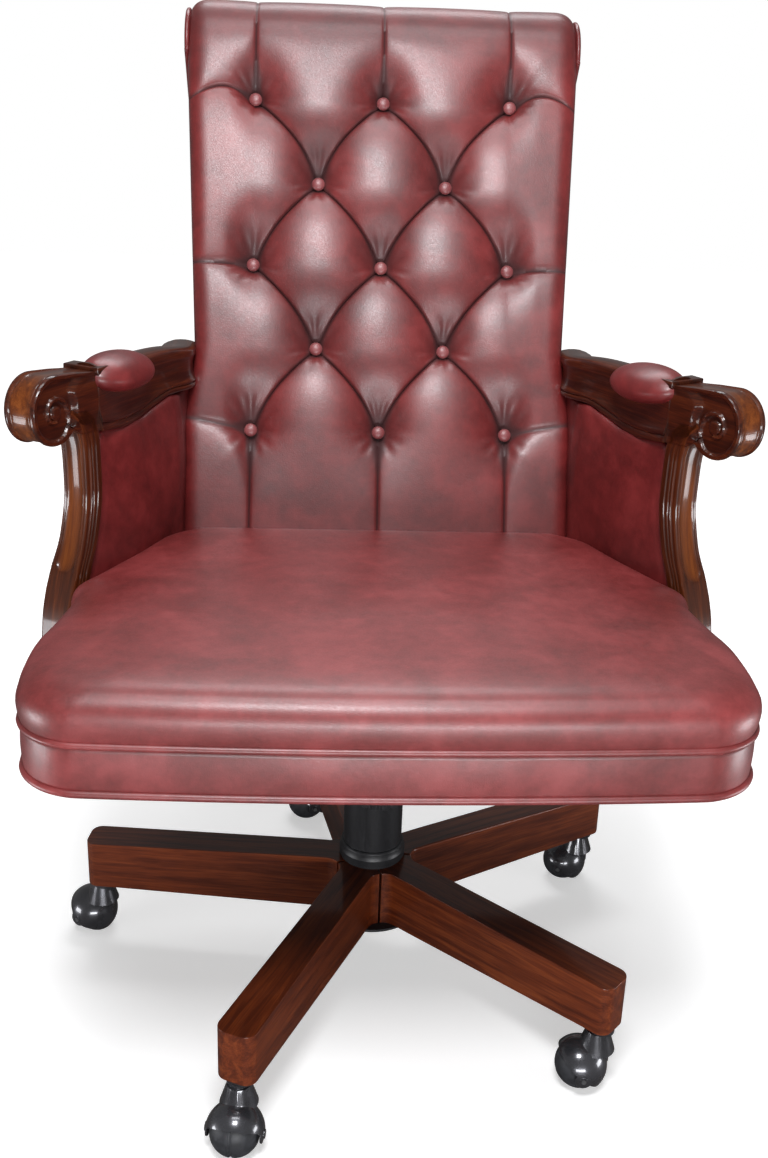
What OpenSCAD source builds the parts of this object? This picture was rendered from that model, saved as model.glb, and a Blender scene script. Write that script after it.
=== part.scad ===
/* [Base] */
// Distance from the column to the end of a leg
base_r = 331; // [300:1:360]
// Turn of the star of legs about the column
star_turn = 28.8; // [20:0.1:40]
// Width of a leg
leg_w = 41; // [36:1:46]
// Height of a leg's underside above the floor at its end
leg_end_z = 76; // [72:1:82]
// Height of a leg's top above the floor at its end
leg_end_top = 132.5; // [120:0.5:134]
// Height of a leg's underside at the hub
leg_hub_z = 72; // [66:1:76]
// Height of a leg's top at the hub
leg_hub_top = 137.5; // [134:0.5:142]
// Radius of the hollow corner between two legs
leg_fillet_r = 16; // [10:1:24]
// Outer radius of the steel hub tube
hub_r = 30; // [28:0.5:32]

/* [Casters] */
// Radius of a caster wheel
wheel_r = 25; // [22:0.5:25]
// Radius of the ball-shaped hood over a wheel
hood_r = 29; // [28:0.1:30]
// Wall of a hood
hood_wall = 1.5; // [1:0.1:1.5]
// Distance that a wheel trails behind its stem
trail = 20; // [18:0.5:22]
// Distance from a leg's end to its caster stem
stem_inset = 15; // [13:0.5:20]
// Radius of a caster stem
stem_r = 5.5; // [5:0.1:6]
// Radius of a caster's collars
collar_r = 13; // [11:0.5:14]

/* [Gas lift] */
// Outer radius of the stand tube
tube_r = 25; // [24:0.5:25]
// Height of the top of the stand tube
tube_top = 252; // [240:1:255]
// Radius of the gas cylinder
cylinder_r = 14; // [13:0.5:15]
// Radius of the piston rod
rod_r = 4; // [3.5:0.5:5]
// Outer radius of the plastic column cover
cover_r = 33.2; // [32.5:0.1:35]
// Wall of the column covers
cover_wall = 1.6; // [1.2:0.1:1.8]

/* [Tilt mechanism] */
// Height of the underside of the mechanism housing
housing_z = 300; // [296:1:304]
// Half the width of the housing
housing_half_w = 56; // [52:1:60]
// Distance of the tilt pin in front of the column
tilt_pin_y = 25; // [20:1:30]
// Height of the tilt pin
tilt_pin_z = 345; // [343:1:347]
// Radius of the tilt pin
tilt_pin_r = 6; // [5:0.5:7]

/* [Seat] */
// Height of the underside of the seat board
board_z = 380; // [380:1:384]
// Thickness of the seat board
board_t = 18; // [15:1:20]
// How far the frame bolts reach up past the seat board
bolt_bite = 24; // [18:1:30]
// Height of the boxed border below the upper welt
border_h = 47; // [40:1:55]
// Height of the crown above the upper welt
crown_h = 51; // [40:1:60]
// Distance from the column to the front of the seat
seat_front = 324; // [310:1:330]
// Half the width of the seat at its front wings
seat_half_w = 323; // [316:1:330]
// Radius of the front corners in plan
seat_corner_r = 62; // [50:1:75]
// How far the crown swells past the border
crown_swell = 3; // [2:0.5:6]

/* [Back] */
// Lean of the back from upright
recline = 21; // [16:0.5:24]
// Distance behind the column of the back's face at the seat board
back_foot_y = 93; // [88:1:100]
// Half the width of the back at its foot
back_half_w = 198.5; // [192:0.5:204]
// How far the padding stands out past its frame on each side at its foot
foot_swell = 21; // [18:0.5:24]
// Gain in half width for each millimetre up the back
back_flare = 0.0395; // [0.02:0.0005:0.05]
// Thickness of the tufted padding
pad_t = 45; // [40:1:50]
// Depth of the whole back below its roll
back_t = 88; // [84:1:96]
// Radius of the roll at the top
roll_r = 53; // [50:1:56]
// How far each end of the roll stands out past the side of the back
roll_over = 7.1; // [5:0.1:13]
// Distance up the back from its foot to the middle of the roll
roll_t = 658.7; // [650:0.1:665]
// Sideways distance between two buttons of a row
button_pitch = 146.6; // [140:0.1:150]
// Distance up the back between two rows of buttons
row_pitch = 94.7; // [92:0.1:98]
// Distance up the back from its foot to the lowest row
first_row_t = 206.3; // [195:0.1:210]
// Depth of the folds between the buttons
fold_depth = 9; // [5:0.5:10]
// Further depth of the leather at a button
button_depth = 11; // [9:0.5:12]
// Radius of a covered button
button_r = 7.5; // [6:0.1:8]

/* [Arms] */
// Outward turn of the scroll and front post from straight ahead
arm_turn = 28.6; // [25:0.1:32]
// Thickness of the scroll and front post
arm_t = 36.4; // [34:0.1:40]
// How far the scroll's eye lies inside the widest place of the seat
eye_inset = 3.7; // [1:0.1:8]
// Distance of the scroll's eye in front of the column
eye_y = 48.1; // [44:0.1:54]
// Height of the scroll's eye over the seat board
eye_rise = 260; // [252:0.5:272]
// Depth of the front post from its front edge to the panel
post_d = 26; // [22:1:30]
// Width of the arm rail
rail_w = 43; // [40:1:46]
// Half the length of an arm pad
arm_pad_l = 46; // [40:1:50]

/* [Hidden] */

// The origin is on the floor under the middle of the whole chair, so the
// column stands this far in front of it.
column_y = -50.5;
running = 0.05;
seat_gap = 0.3;
$fn = 48;

legs = 5;
leg_step = 360 / legs;
// The way each wheel trails behind its stem, turned from the +X direction.
caster_heading = [158, 205, 148, 259, 180];

leather = [0.45, 0.19, 0.20];
mahogany = [0.22, 0.08, 0.04];
black_steel = [0.12, 0.12, 0.13];
plain_steel = [0.55, 0.55, 0.57];
black_plastic = [0.10, 0.10, 0.11];
plywood = [0.70, 0.55, 0.38];

module from_column() {
    translate([0, column_y, 0]) children();
}

// A closed solid through a list of rings with the same number of points. The
// rings run anticlockwise when looked at from the last ring back to the first.
// Its ends are fans, or strips across where an end ring is not flat.
module ring_solid(rings, strips = false) {
    n = len(rings[0]);
    last = (len(rings) - 1) * n;
    points = [for (ring = rings) each ring];
    sides = [for (k = [0 : len(rings) - 2], i = [0 : n - 1]) let (j = (i + 1) % n)
        each [[k * n + i, (k + 1) * n + i, (k + 1) * n + j],
              [k * n + i, (k + 1) * n + j, k * n + j]]];
    half = floor(n / 2);
    across = concat([for (i = [0 : half - 2]) each [[i, i + 1, n - 1 - i], [i + 1, n - 2 - i, n - 1 - i]]],
        n % 2 == 1 ? [[half - 1, half, half + 1]] : []);
    first_cap = strips ? across : [for (i = [1 : n - 2]) [0, i, i + 1]];
    last_cap = [for (t = first_cap) [last + t[0], last + t[2], last + t[1]]];
    polyhedron(points, concat(first_cap, last_cap, sides), convexity = 6);
}

function blend(a, b, f) = a + (b - a) * f;

// Star base

module at_leg(i) {
    rotate([0, 0, star_turn + leg_step * i]) children();
}

leg_mitre = leg_step / 2;
// Distance along the mitre to the centre of the hollow corner between legs.
fillet_far = (leg_w / 2 + leg_fillet_r) / sin(leg_mitre);
leg_slot = 1.5;
leg_corner_r = 12;
hub_seat_r = hub_r + 0.2;

function leg_side() = concat(
    [for (a = [0 : 15 : 90]) [base_r - leg_corner_r + leg_corner_r * cos(a),
                              leg_w / 2 - leg_corner_r + leg_corner_r * sin(a)]],
    [for (a = [270 : -9 : 180 + leg_mitre])
        [fillet_far * cos(leg_mitre) + leg_fillet_r * cos(a),
         fillet_far * sin(leg_mitre) + leg_fillet_r * sin(a) - leg_slot]],
    [[hub_r * 0.8 * cos(leg_mitre), hub_r * 0.8 * sin(leg_mitre) - leg_slot]]);

function mirrored(points) = [for (i = [len(points) - 1 : -1 : 0]) [points[i][0], -points[i][1]]];

leg_flat_r = 70;
stem_circle_r = base_r - stem_inset;
leg_foot_r = stem_circle_r - 16;
socket_depth = 38;
socket_r = 7.5;
bolt_circle_r = 46;
bolt_r = 3;

module leg(i) {
    color(mahogany) from_column() at_leg(i) difference() {
        intersection() {
            linear_extrude(height = leg_hub_top + 10) polygon(concat(leg_side(), mirrored(leg_side())));
            rotate([90, 0, 0]) linear_extrude(height = 160, center = true) polygon([
                [0, leg_hub_z], [leg_flat_r, leg_hub_z], [leg_foot_r, leg_end_z], [base_r + 5, leg_end_z],
                [base_r + 5, leg_end_top], [leg_flat_r, leg_hub_top], [0, leg_hub_top]]);
        }
        translate([0, 0, leg_hub_z - 10]) cylinder(r = hub_seat_r, h = 120);
        translate([stem_circle_r, 0, leg_end_z - 10]) cylinder(r = socket_r + running,
            h = 10 + socket_depth);
        translate([bolt_circle_r, 0, leg_hub_z - 5]) cylinder(r = bolt_r + running, h = 40);
    }
}

hub_flange_r = 58;
hub_flange_t = 3;
hub_z = leg_hub_z - hub_flange_t;

module hub() {
    color(black_steel) from_column() difference() {
        union() {
            translate([0, 0, hub_z]) cylinder(r = hub_r, h = leg_hub_top - hub_z);
            translate([0, 0, hub_z]) cylinder(r = hub_flange_r, h = hub_flange_t);
            translate([0, 0, leg_hub_top]) cylinder(r = hub_r + 6, h = 2.5);
        }
        translate([0, 0, hub_z - 5]) cylinder(r = tube_r + running, h = 120);
        for (i = [0 : legs - 1]) at_leg(i)
            translate([bolt_circle_r, 0, hub_z - 1]) cylinder(r = bolt_r + running, h = hub_flange_t + 2);
    }
}

bolt_head_h = 4;

module leg_bolts() {
    color(plain_steel) from_column() for (i = [0 : legs - 1]) at_leg(i) translate([bolt_circle_r, 0, 0]) {
        translate([0, 0, hub_z - bolt_head_h]) cylinder(r = 6, h = bolt_head_h, $fn = 6);
        translate([0, 0, hub_z - 0.5]) cylinder(r = bolt_r, h = 30);
    }
}

// Casters

collar_t = 4;
socket_lip_z = leg_end_z - collar_t;
collar_top = socket_lip_z - seat_gap;
stem_len = socket_depth - 4;

module at_stem(i) {
    from_column() at_leg(i) translate([stem_circle_r, 0, 0])
        rotate([0, 0, caster_heading[i] - star_turn - leg_step * i]) children();
}

module caster_sockets() {
    color(black_steel) for (i = [0 : legs - 1]) at_stem(i) difference() {
        union() {
            translate([0, 0, socket_lip_z]) cylinder(r = collar_r, h = collar_t);
            translate([0, 0, leg_end_z - 1]) cylinder(r = socket_r, h = socket_depth);
        }
        translate([0, 0, socket_lip_z - 1]) cylinder(r = stem_r + running, h = stem_len + collar_t + 1);
    }
}

wheel_half_w = 23;
axle_r = 2.5;
neck_r = 10;
ear_r = 9;
bell_r = 19;
bell_z = 46;

// A hood is a hollow ball about the wheel's centre with a bell that rises to
// the swivel collar. It is cut away under a plane that rises towards the
// trailing side, and ears reach down to the axle.
module caster_hood(i) {
    rise = 40;
    top = collar_top - collar_t;
    color(black_plastic) at_stem(i) difference() {
        union() {
            translate([trail, 0, wheel_r]) sphere(r = hood_r);
            translate([0, 0, wheel_r + 6]) cylinder(r = neck_r, h = top - wheel_r - 5);
            translate([4, 0, bell_z]) cylinder(r1 = bell_r, r2 = collar_r - 1, h = top - bell_z + 0.5);
            translate([0, 0, top]) cylinder(r = collar_r, h = collar_t);
            translate([trail, 0, wheel_r]) rotate([90, 0, 0])
                cylinder(r = 4.5, h = 2 * hood_r + 1, center = true);
        }
        translate([trail, 0, wheel_r]) sphere(r = hood_r - hood_wall);
        translate([trail, 0, wheel_r]) difference() {
            rotate([0, -rise, 0]) translate([-2.5 * hood_r, -2 * hood_r, -4 * hood_r])
                cube([5 * hood_r, 4 * hood_r, 4 * hood_r]);
            rotate([90, 0, 0]) cylinder(r = ear_r, h = 4 * hood_r, center = true);
            translate([-3 * hood_r, -2 * hood_r, -6]) cube([3 * hood_r, 4 * hood_r, 5 * hood_r]);
        }
        translate([trail, 0, wheel_r]) rotate([90, 0, 0])
            cylinder(r = axle_r + running, h = 3 * hood_r, center = true);
        translate([0, 0, wheel_r + 20]) cylinder(r = stem_r - 1 + running, h = 60);
    }
}

module caster_stem(i) {
    neck_z = wheel_r + 30;
    color(plain_steel) at_stem(i) {
        translate([0, 0, neck_z]) cylinder(r = stem_r - 1, h = collar_top - neck_z + 1);
        translate([0, 0, collar_top]) cylinder(r = stem_r, h = stem_len);
    }
}

module caster_axle(i) {
    color(plain_steel) at_stem(i) translate([trail, 0, wheel_r]) rotate([90, 0, 0])
        cylinder(r = axle_r, h = 2 * hood_r + 1, center = true);
}

module caster_wheel(i) {
    color(black_plastic) at_stem(i) translate([trail, 0, wheel_r]) rotate([90, 0, 0]) difference() {
        intersection() {
            sphere(r = wheel_r);
            cylinder(r = wheel_r, h = 2 * wheel_half_w, center = true);
        }
        cylinder(r = axle_r + running, h = 3 * wheel_r, center = true);
        rotate_extrude() translate([wheel_r + 1.2, 0]) circle(r = 2.4, $fn = 24);
    }
}

// Gas lift

bearing_z = hub_z + 4;
sleeve_top = tube_top;
cylinder_z = 104;
cylinder_top = housing_z + 32;
tube_wall = 1.5;

module stand_tube() {
    color(black_steel) from_column() difference() {
        translate([0, 0, hub_z]) cylinder(r = tube_r, h = tube_top - hub_z);
        translate([0, 0, hub_z + 3]) cylinder(r = tube_r - tube_wall, h = tube_top);
        translate([0, 0, hub_z - 1]) cylinder(r = rod_r + running, h = 6);
    }
}

module guide_sleeve() {
    color("white") from_column() difference() {
        translate([0, 0, sleeve_top - 80]) cylinder(r = tube_r - tube_wall - running, h = 80);
        translate([0, 0, sleeve_top - 81]) cylinder(r = cylinder_r + running, h = 82);
    }
}

module thrust_bearing() {
    color(plain_steel) from_column() difference() {
        translate([0, 0, hub_z + 3]) cylinder(r = 12, h = 5);
        translate([0, 0, hub_z + 2]) cylinder(r = rod_r + running, h = 7);
    }
}

piston_z = cylinder_top - 28;
pin_r = 3;
pin_top = cylinder_top + 5;

module piston_rod() {
    color(plain_steel) from_column() {
        translate([0, 0, hub_z - 6]) cylinder(r = rod_r, h = piston_z + 1 - (hub_z - 6));
        translate([0, 0, hub_z - 3 - seat_gap]) cylinder(r = 8, h = 3);
        translate([0, 0, hub_z + 8 + running]) cylinder(r = 8, h = 5);
        translate([0, 0, piston_z]) cylinder(r = cylinder_r - 1.5 - running, h = 10);
    }
}

module gas_cylinder() {
    color(black_steel) from_column() difference() {
        translate([0, 0, cylinder_z]) cylinder(r = cylinder_r, h = cylinder_top - cylinder_z);
        translate([0, 0, cylinder_z + 6]) cylinder(r = cylinder_r - 1.5,
            h = cylinder_top - 10 - cylinder_z - 6);
        translate([0, 0, cylinder_z - 1]) cylinder(r = rod_r + running, h = 10);
        translate([0, 0, cylinder_top - 20]) cylinder(r = pin_r + running, h = 30);
    }
}

module release_pin() {
    color(plain_steel) from_column() translate([0, 0, cylinder_top - 6])
        cylinder(r = pin_r, h = pin_top - cylinder_top + 6);
}

cover_z = leg_hub_top + 2.5;
cover_top = 258;
upper_r = cover_r - cover_wall - 0.5;

module column_cover() {
    color(black_plastic) from_column() difference() {
        rotate_extrude($fn = 72) polygon([
            [tube_r + 1.5, cover_z], [cover_r + 4, cover_z], [cover_r + 4, cover_z + 8], [cover_r + 2.6,
                cover_z + 12],
            [cover_r + 2.6, cover_z + 16], [cover_r + 1, cover_z + 18], [cover_r, cover_z + 18],
                [cover_r, cover_top],
            [cover_r - cover_wall, cover_top], [cover_r - cover_wall, cover_z + 3], [tube_r + 1.5,
                cover_z + 3]]);
    }
}

module upper_cover() {
    color(black_plastic) from_column() difference() {
        translate([0, 0, cover_z + 12]) cylinder(r = upper_r, h = housing_z - cover_z - 12, $fn = 72);
        translate([0, 0, cover_z + 11]) cylinder(r = upper_r - cover_wall, h = 200, $fn = 72);
    }
}

// Tilt mechanism

housing_wall = 4;
housing_front = 120;
housing_rear = 70;
lever_pivot_x = 30;
lever_z = cylinder_top + 8.3;
knob_y = 95;

module mechanism_housing() {
    color(black_steel) from_column() difference() {
        union() {
            translate([-housing_half_w, -housing_front, housing_z])
                cube([2 * housing_half_w, housing_front + housing_rear, 5]);
            for (side = [-1, 1]) translate([side * (housing_half_w - housing_wall / 2), 0, 0])
                rotate([90, 0, 90]) linear_extrude(height = housing_wall, center = true) polygon([
                    [-housing_front, housing_z], [housing_rear, housing_z], [housing_rear, housing_z + 42],
                    [10, housing_z + 44], [0, tilt_pin_z + 9], [-50, tilt_pin_z + 9], [-housing_front,
                        housing_z + 40]]);
            translate([-housing_half_w, -housing_front, housing_z])
                cube([2 * housing_half_w, housing_wall, 36]);
            translate([0, 0, housing_z]) cylinder(r = 22, h = 30);
            for (side = [-1, 1]) translate([-lever_pivot_x - 6, side * 9 - 1.5, housing_z])
                cube([12, 3, lever_z + 7 - housing_z]);
        }
        translate([0, 0, housing_z - 1]) cylinder(r = cylinder_r + 0.02, h = 40);
        translate([0, -tilt_pin_y, tilt_pin_z]) rotate([0, 90, 0])
            cylinder(r = tilt_pin_r + running, h = 4 * housing_half_w, center = true);
        translate([-lever_pivot_x, 0, lever_z]) rotate([90, 0, 0])
            cylinder(r = 3 + running, h = 60, center = true);
        translate([-housing_half_w - 1, -8, lever_z - 8]) cube([housing_wall + 2, 16, 20]);
        translate([0, -knob_y, housing_z - 1]) cylinder(r = 5 + running, h = 10);
    }
}

lever_reach = 222;

module height_lever() {
    color(black_steel) from_column() {
        translate([-lever_pivot_x, 0, lever_z]) rotate([90, 0, 0]) cylinder(r = 3, h = 22, center = true);
        translate([-lever_pivot_x, 0, lever_z]) rotate([0, 90, 0]) cylinder(r = 3, h = lever_pivot_x + 1);
        translate([-170, 0, lever_z]) rotate([0, 90, 0]) cylinder(r = 4, h = 170 - lever_pivot_x);
        translate([-lever_reach, 0, lever_z]) rotate([0, 90, 0]) cylinder(r = 8, h = 60);
        translate([-lever_reach, 0, lever_z]) sphere(r = 8);
    }
}

module tension_knob() {
    color(black_plastic) from_column() translate([0, -knob_y, 0]) {
        difference() {
            translate([0, 0, housing_z - 36]) cylinder(r = 24, h = 30);
            for (a = [0 : 30 : 330]) rotate([0, 0, a]) translate([26, 0, housing_z - 37])
                cylinder(r = 4, h = 32, $fn = 24);
        }
        translate([0, 0, housing_z - 7]) cylinder(r = 5, h = 19);
    }
}

plate_t = 4;
dust_t = 1;
spring_top = board_z - dust_t - plate_t;

module tilt_spring() {
    color(plain_steel) from_column() translate([0, -knob_y, housing_z + 12])
        cylinder(r = 16, h = spring_top - housing_z - 12);
}

ear_x = housing_half_w + 0.5;
ear_t = 4;

module tilt_pin() {
    color(plain_steel) from_column() translate([0, -tilt_pin_y, tilt_pin_z]) rotate([0, 90, 0])
        cylinder(r = tilt_pin_r, h = 2 * (ear_x + ear_t + 3), center = true);
}

plate_half_w = 95;
plate_front = 130;
plate_rear = 110;
plate_bolts = [[-75, -112], [75, -112], [-75, 92], [75, 92]];

module tilt_plate() {
    color(black_steel) from_column() difference() {
        union() {
            translate([-plate_half_w, -plate_front, spring_top])
                cube([2 * plate_half_w, plate_front + plate_rear, plate_t]);
            for (side = [-1, 1]) translate([side * (ear_x + ear_t / 2), 0, 0]) rotate([90, 0, 90])
                linear_extrude(height = ear_t, center = true) polygon([
                    [-tilt_pin_y - 32, spring_top + 1], [-tilt_pin_y - 10, tilt_pin_z - 12],
                    [-tilt_pin_y + 10, tilt_pin_z - 12], [-tilt_pin_y + 32, spring_top + 1]]);
        }
        translate([0, -tilt_pin_y, tilt_pin_z]) rotate([0, 90, 0])
            cylinder(r = tilt_pin_r + running, h = 200, center = true);
        for (p = plate_bolts) translate([p[0], p[1], spring_top - 1])
            cylinder(r = 4 + running, h = plate_t + 2);
    }
}

// Seat

// Sideways place of the scroll's eye on its inner face
eye_x = seat_half_w - eye_inset;
// Ways along the scroll's plane and out of its inner face
arm_u = [sin(arm_turn), -cos(arm_turn)];
arm_n = [-cos(arm_turn), -sin(arm_turn)];

function on_face(a) = [eye_x + a * arm_u[0], -eye_y + a * arm_u[1]];

// Where the post's inner face starts and ends at seat height
post_inner = on_face(2);
post_rear = on_face(2 - post_d);
post_rear_out = [for (i = [0, 1]) post_rear[i] - arm_n[i] * (arm_t + 4)];
post_bolt = [for (i = [0, 1]) on_face(5 - post_d / 2)[i] - arm_n[i] * arm_t / 2];

board_inset = 26;
rear_board_y = 205;
seat_outline_z = board_z + board_t;
welt_z = seat_outline_z + border_h;
eye_z = seat_outline_z + eye_rise;

function back_face_y(z) = back_foot_y + (z - seat_outline_z) * tan(recline);
function back_width(t) = back_half_w + back_flare * t;
function pad_width(t) = back_width(t) + foot_swell * lookup(t, [[0, 1], [200, 0.65], [300, 0]]);
function pad_width_at(z) = pad_width((z - seat_outline_z) / cos(recline));
pad_foot = pad_width(0);

// Half of the board's outline, from the front to the rear
board_half = concat(
    [[0, -seat_front + board_inset]],
    [for (a = [-90 : 15 : 0]) [seat_half_w - board_inset - seat_corner_r + seat_corner_r * cos(a),
                               -seat_front + board_inset + seat_corner_r + 6 + seat_corner_r * sin(a)]],
    [[seat_half_w - board_inset, -120], [seat_half_w - 1, -75], [post_rear_out[0] + 12,
        post_rear_out[1] - 26],
     post_rear_out, [back_half_w + 62, 165], [back_half_w + 50, rear_board_y]]);

function both_halves(half) = concat(half, [for (i = [len(half) - 1 : -1 : 0]) [-half[i][0], half[i][1]]]);

board_bolts = [for (p = [post_bolt, [pad_foot + 32, 115], [back_half_w - 38, 171]], side = [-1, 1])
    [side * p[0], p[1]]];

module board_holes(z, h) {
    for (p = plate_bolts) translate([p[0], p[1], z]) cylinder(r = 4 + running, h = h);
    for (p = board_bolts) translate([p[0], p[1], z]) cylinder(r = 4 + running, h = h);
}

module seat_board() {
    color(plywood) from_column() difference() {
        translate([0, 0, board_z]) linear_extrude(height = board_t) polygon(both_halves(board_half));
        board_holes(board_z - 1, board_t + 2);
    }
}

module dust_cover() {
    color("black") from_column() difference() {
        translate([0, 0, board_z - dust_t]) linear_extrude(height = dust_t - 0.05)
            polygon([for (p = both_halves(board_half)) [p[0] * 0.96, p[1] * 0.96]]);
        board_holes(board_z - 3, 6);
    }
}

module frame_bolts() {
    color(plain_steel) from_column() {
        for (p = plate_bolts) translate([p[0], p[1], 0]) {
            translate([0, 0, spring_top - 5]) cylinder(r = 7, h = 5, $fn = 6);
            translate([0, 0, spring_top - 1]) cylinder(r = 4, h = plate_t + board_t);
        }
        for (p = board_bolts) translate([p[0], p[1], 0]) {
            translate([0, 0, board_z - dust_t - 5]) cylinder(r = 7, h = 5, $fn = 6);
            translate([0, 0, board_z - dust_t - 1]) cylinder(r = 4, h = board_t + bolt_bite);
        }
    }
}

// Half of the seat's outline at one height, from the front to the rear, with
// each point's share of the crown's swell. The sides draw in towards the arm
// posts, which stand outside them, and follow the arm panels to the back.
function seat_half(z) = let (r = seat_corner_r, y0 = -seat_front, w = seat_half_w) concat(
    [for (x = [0, 0.25, 0.5, 0.75]) [x * (w - r), y0 + 7 * x * x, 1]],
    [for (a = [-90 : 15 : 0]) [w - r + r * cos(a), y0 + 7 + r + r * sin(a), 1]],
    [[w + 2, y0 + 100, 1], [w + 1, y0 + 140, 1], [w - 4, y0 + 168, 0.8], [w - 9, y0 + 200, 0.4],
     [w - 14, -80, 0.2], [post_inner[0] - 6, post_inner[1] - 4, 0], [post_rear[0] - 7, post_rear[1], 0]],
    [for (y = [10, 40, 70, 100]) [panel_inner(y, z) - 2, y, 0]],
    [[pad_width_at(z) - 3, back_face_y(z) - 6, 0], [pad_width_at(z) * 0.9, back_face_y(z) - 1, 0],
     [pad_width_at(z) * 0.45, back_face_y(z) - 1, 0]]);

function full_ring(half, z) = concat(
    [for (p = half) [p[0], p[1], z]],
    [for (i = [len(half) - 1 : -1 : 1]) [-half[i][0], half[i][1], z]]);

seat_mid_y = -105;

// The outline at a height, drawn in by a share towards the middle and swollen
function seat_ring(z, draw_in, swell) = full_ring([for (p = seat_half(z)) let (
        d = norm([p[0], p[1] - seat_mid_y]),
        k = (1 - draw_in) + swell * p[2] / d)
    [p[0] * k, seat_mid_y + (p[1] - seat_mid_y) * k]], z);

module seat_border() {
    z0 = seat_outline_z + 0.02;
    z1 = welt_z - 0.1;
    color(leather) from_column() difference() {
        ring_solid([seat_ring(z0, 0, 0), seat_ring(blend(z0, z1, 0.5), 0, 1.5), seat_ring(z1, 0, 0)]);
        for (p = concat(plate_bolts, board_bolts)) translate([p[0], p[1], z0 - 1]) cylinder(r = 5, h = 26);
    }
}

// Shares of the crown's height, of drawing in and of swelling, from the welt up
crown_steps = [[0, 0, 0], [0.18, 0, 0.8], [0.4, 0, 1], [0.6, 0.008, 0.8], [0.77, 0.03, 0.3],
    [0.89, 0.075, 0], [0.955, 0.17, 0], [0.985, 0.36, 0], [1, 0.68, 0]];

module seat_cushion() {
    color(leather) from_column()
        ring_solid([for (s = crown_steps) seat_ring(welt_z + seat_gap + s[0] * crown_h, s[1],
            s[2] * crown_swell)]);
}

// Back. X runs across, Y up the back and Z out of its face.

module on_back() {
    from_column() translate([0, back_foot_y, seat_outline_z]) rotate([90 - recline, 0, 0]) children();
}

cushion_top = roll_t - 41;
roll_half_w = back_width(cushion_top) + roll_over;
// The board and the shell end just below the roll.
back_top = cushion_top - 6.4;
back_low = 18;

// Depth of the leather below its crest at a point of the back. The buttons lie
// where the two slanting families of folds cross, and past the outer buttons a
// fold runs straight to the nearest edge.
function tuft(x, t) = let (
        across = min(2, abs(x) / (button_pitch / 2)),
        up = max(0, min(4, (t - first_row_t) / row_pitch)),
        past = max(0, abs(x) / (button_pitch / 2) - 2) + max(0, -(t - first_row_t) / row_pitch)
            + max(0, (t - first_row_t) / row_pitch - 4),
        rise = sqrt(abs(sin(90 * (across + up)) * sin(90 * (up - across)))),
        row = round(up),
        col = (row % 2 == 0) ? round(across / 2) * 2 : 1,
        away = norm([abs(x) - col * button_pitch / 2, t - first_row_t - row * row_pitch]))
    fold_depth * (1 - rise) * exp(-past * 0.9) + button_depth * exp(-pow(away / 13, 2));

cushion_cols = concat([-1], [for (j = [-10 : 10]) j], [1]);

function cushion_x(k, t) = k == 0 ? -pad_width(t) : k == 1 ? -pad_width(t) + 9
    : k == 23 ? pad_width(t) - 9 : k == 24 ? pad_width(t) : (k - 12) * button_pitch / 8;
function cushion_edge(k) = k == 0 || k == 24 ? 17 : k == 1 || k == 23 ? 5 : 0;

cushion_rows = concat([back_low], [for (i = [-7 : 18]) first_row_t + i * row_pitch / 4]);

module back_cushion() {
    n = 25;
    m = len(cushion_rows);
    front = [for (i = [0 : m - 1], k = [0 : n - 1]) let (t = min(cushion_rows[i], cushion_top))
        [cushion_x(k, t), t, -max(cushion_edge(k), tuft(cushion_x(k, t), t))]];
    rim = concat([for (k = [0 : n - 1]) k], [for (i = [1 : m - 1]) i * n + n - 1],
        [for (k = [n - 2 : -1 : 0]) (m - 1) * n + k], [for (i = [m - 2 : -1 : 1]) i * n]);
    rear = [for (k = rim) [front[k][0], front[k][1], -pad_t]];
    c = len(front);
    r = len(rim);
    middle = [[0, (back_low + cushion_top) / 2, -pad_t]];
    face = [for (i = [0 : m - 2], k = [0 : n - 2]) let (a = i * n + k, b = a + 1, d = a + n, e = d + 1)
        each ((i + k) % 2 == 1 ? [[a, e, b], [a, d, e]] : [[a, d, b], [b, d, e]])];
    wall = [for (i = [0 : r - 1]) let (j = (i + 1) % r) each [[rim[i], rim[j], c + j], [rim[i], c + j,
        c + i]]];
    cap = [for (i = [0 : r - 1]) [c + i, c + (i + 1) % r, c + r]];
    color(leather) on_back() {
        polyhedron(concat(front, rear, middle), concat(face, wall, cap), convexity = 8);
        back_roll();
    }
}

button_row = [for (row = [0 : 4]) each [for (k = row % 2 == 0 ? [-2, 0, 2] : [-1, 1]) [k, row]]];
button_seat = -(fold_depth + button_depth) + 6.6;

module back_buttons() {
    color(leather) on_back() for (b = button_row)
        translate([b[0] * button_pitch / 2, first_row_t + b[1] * row_pitch, button_seat]) rotate_extrude()
            polygon(concat([[0, 0], [button_r - 0.6, 0]],
                [for (a = [0 : 15 : 90]) [button_r * cos(a), 1.2 + 4.3 * sin(a)]]));
}

board_back_t = 15;

module back_board() {
    z1 = -pad_t - 0.1;
    low = back_low + 14;
    color(plywood) difference() {
        on_back() {
            translate([0, 0, z1 - board_back_t]) linear_extrude(height = board_back_t) polygon([
                [-back_width(0) + 12, low], [back_width(0) - 12, low],
                [back_width(cushion_top) - 12, back_top], [-back_width(cushion_top) + 12, back_top]]);
            for (side = [-1, 1]) translate([side * (back_width(0) - 38) - 16, low, z1 - board_back_t - 22])
                cube([32, back_top - low, 22.5]);
        }
        from_column() board_holes(board_z, 60);
    }
}

shell_t = 5;

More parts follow.
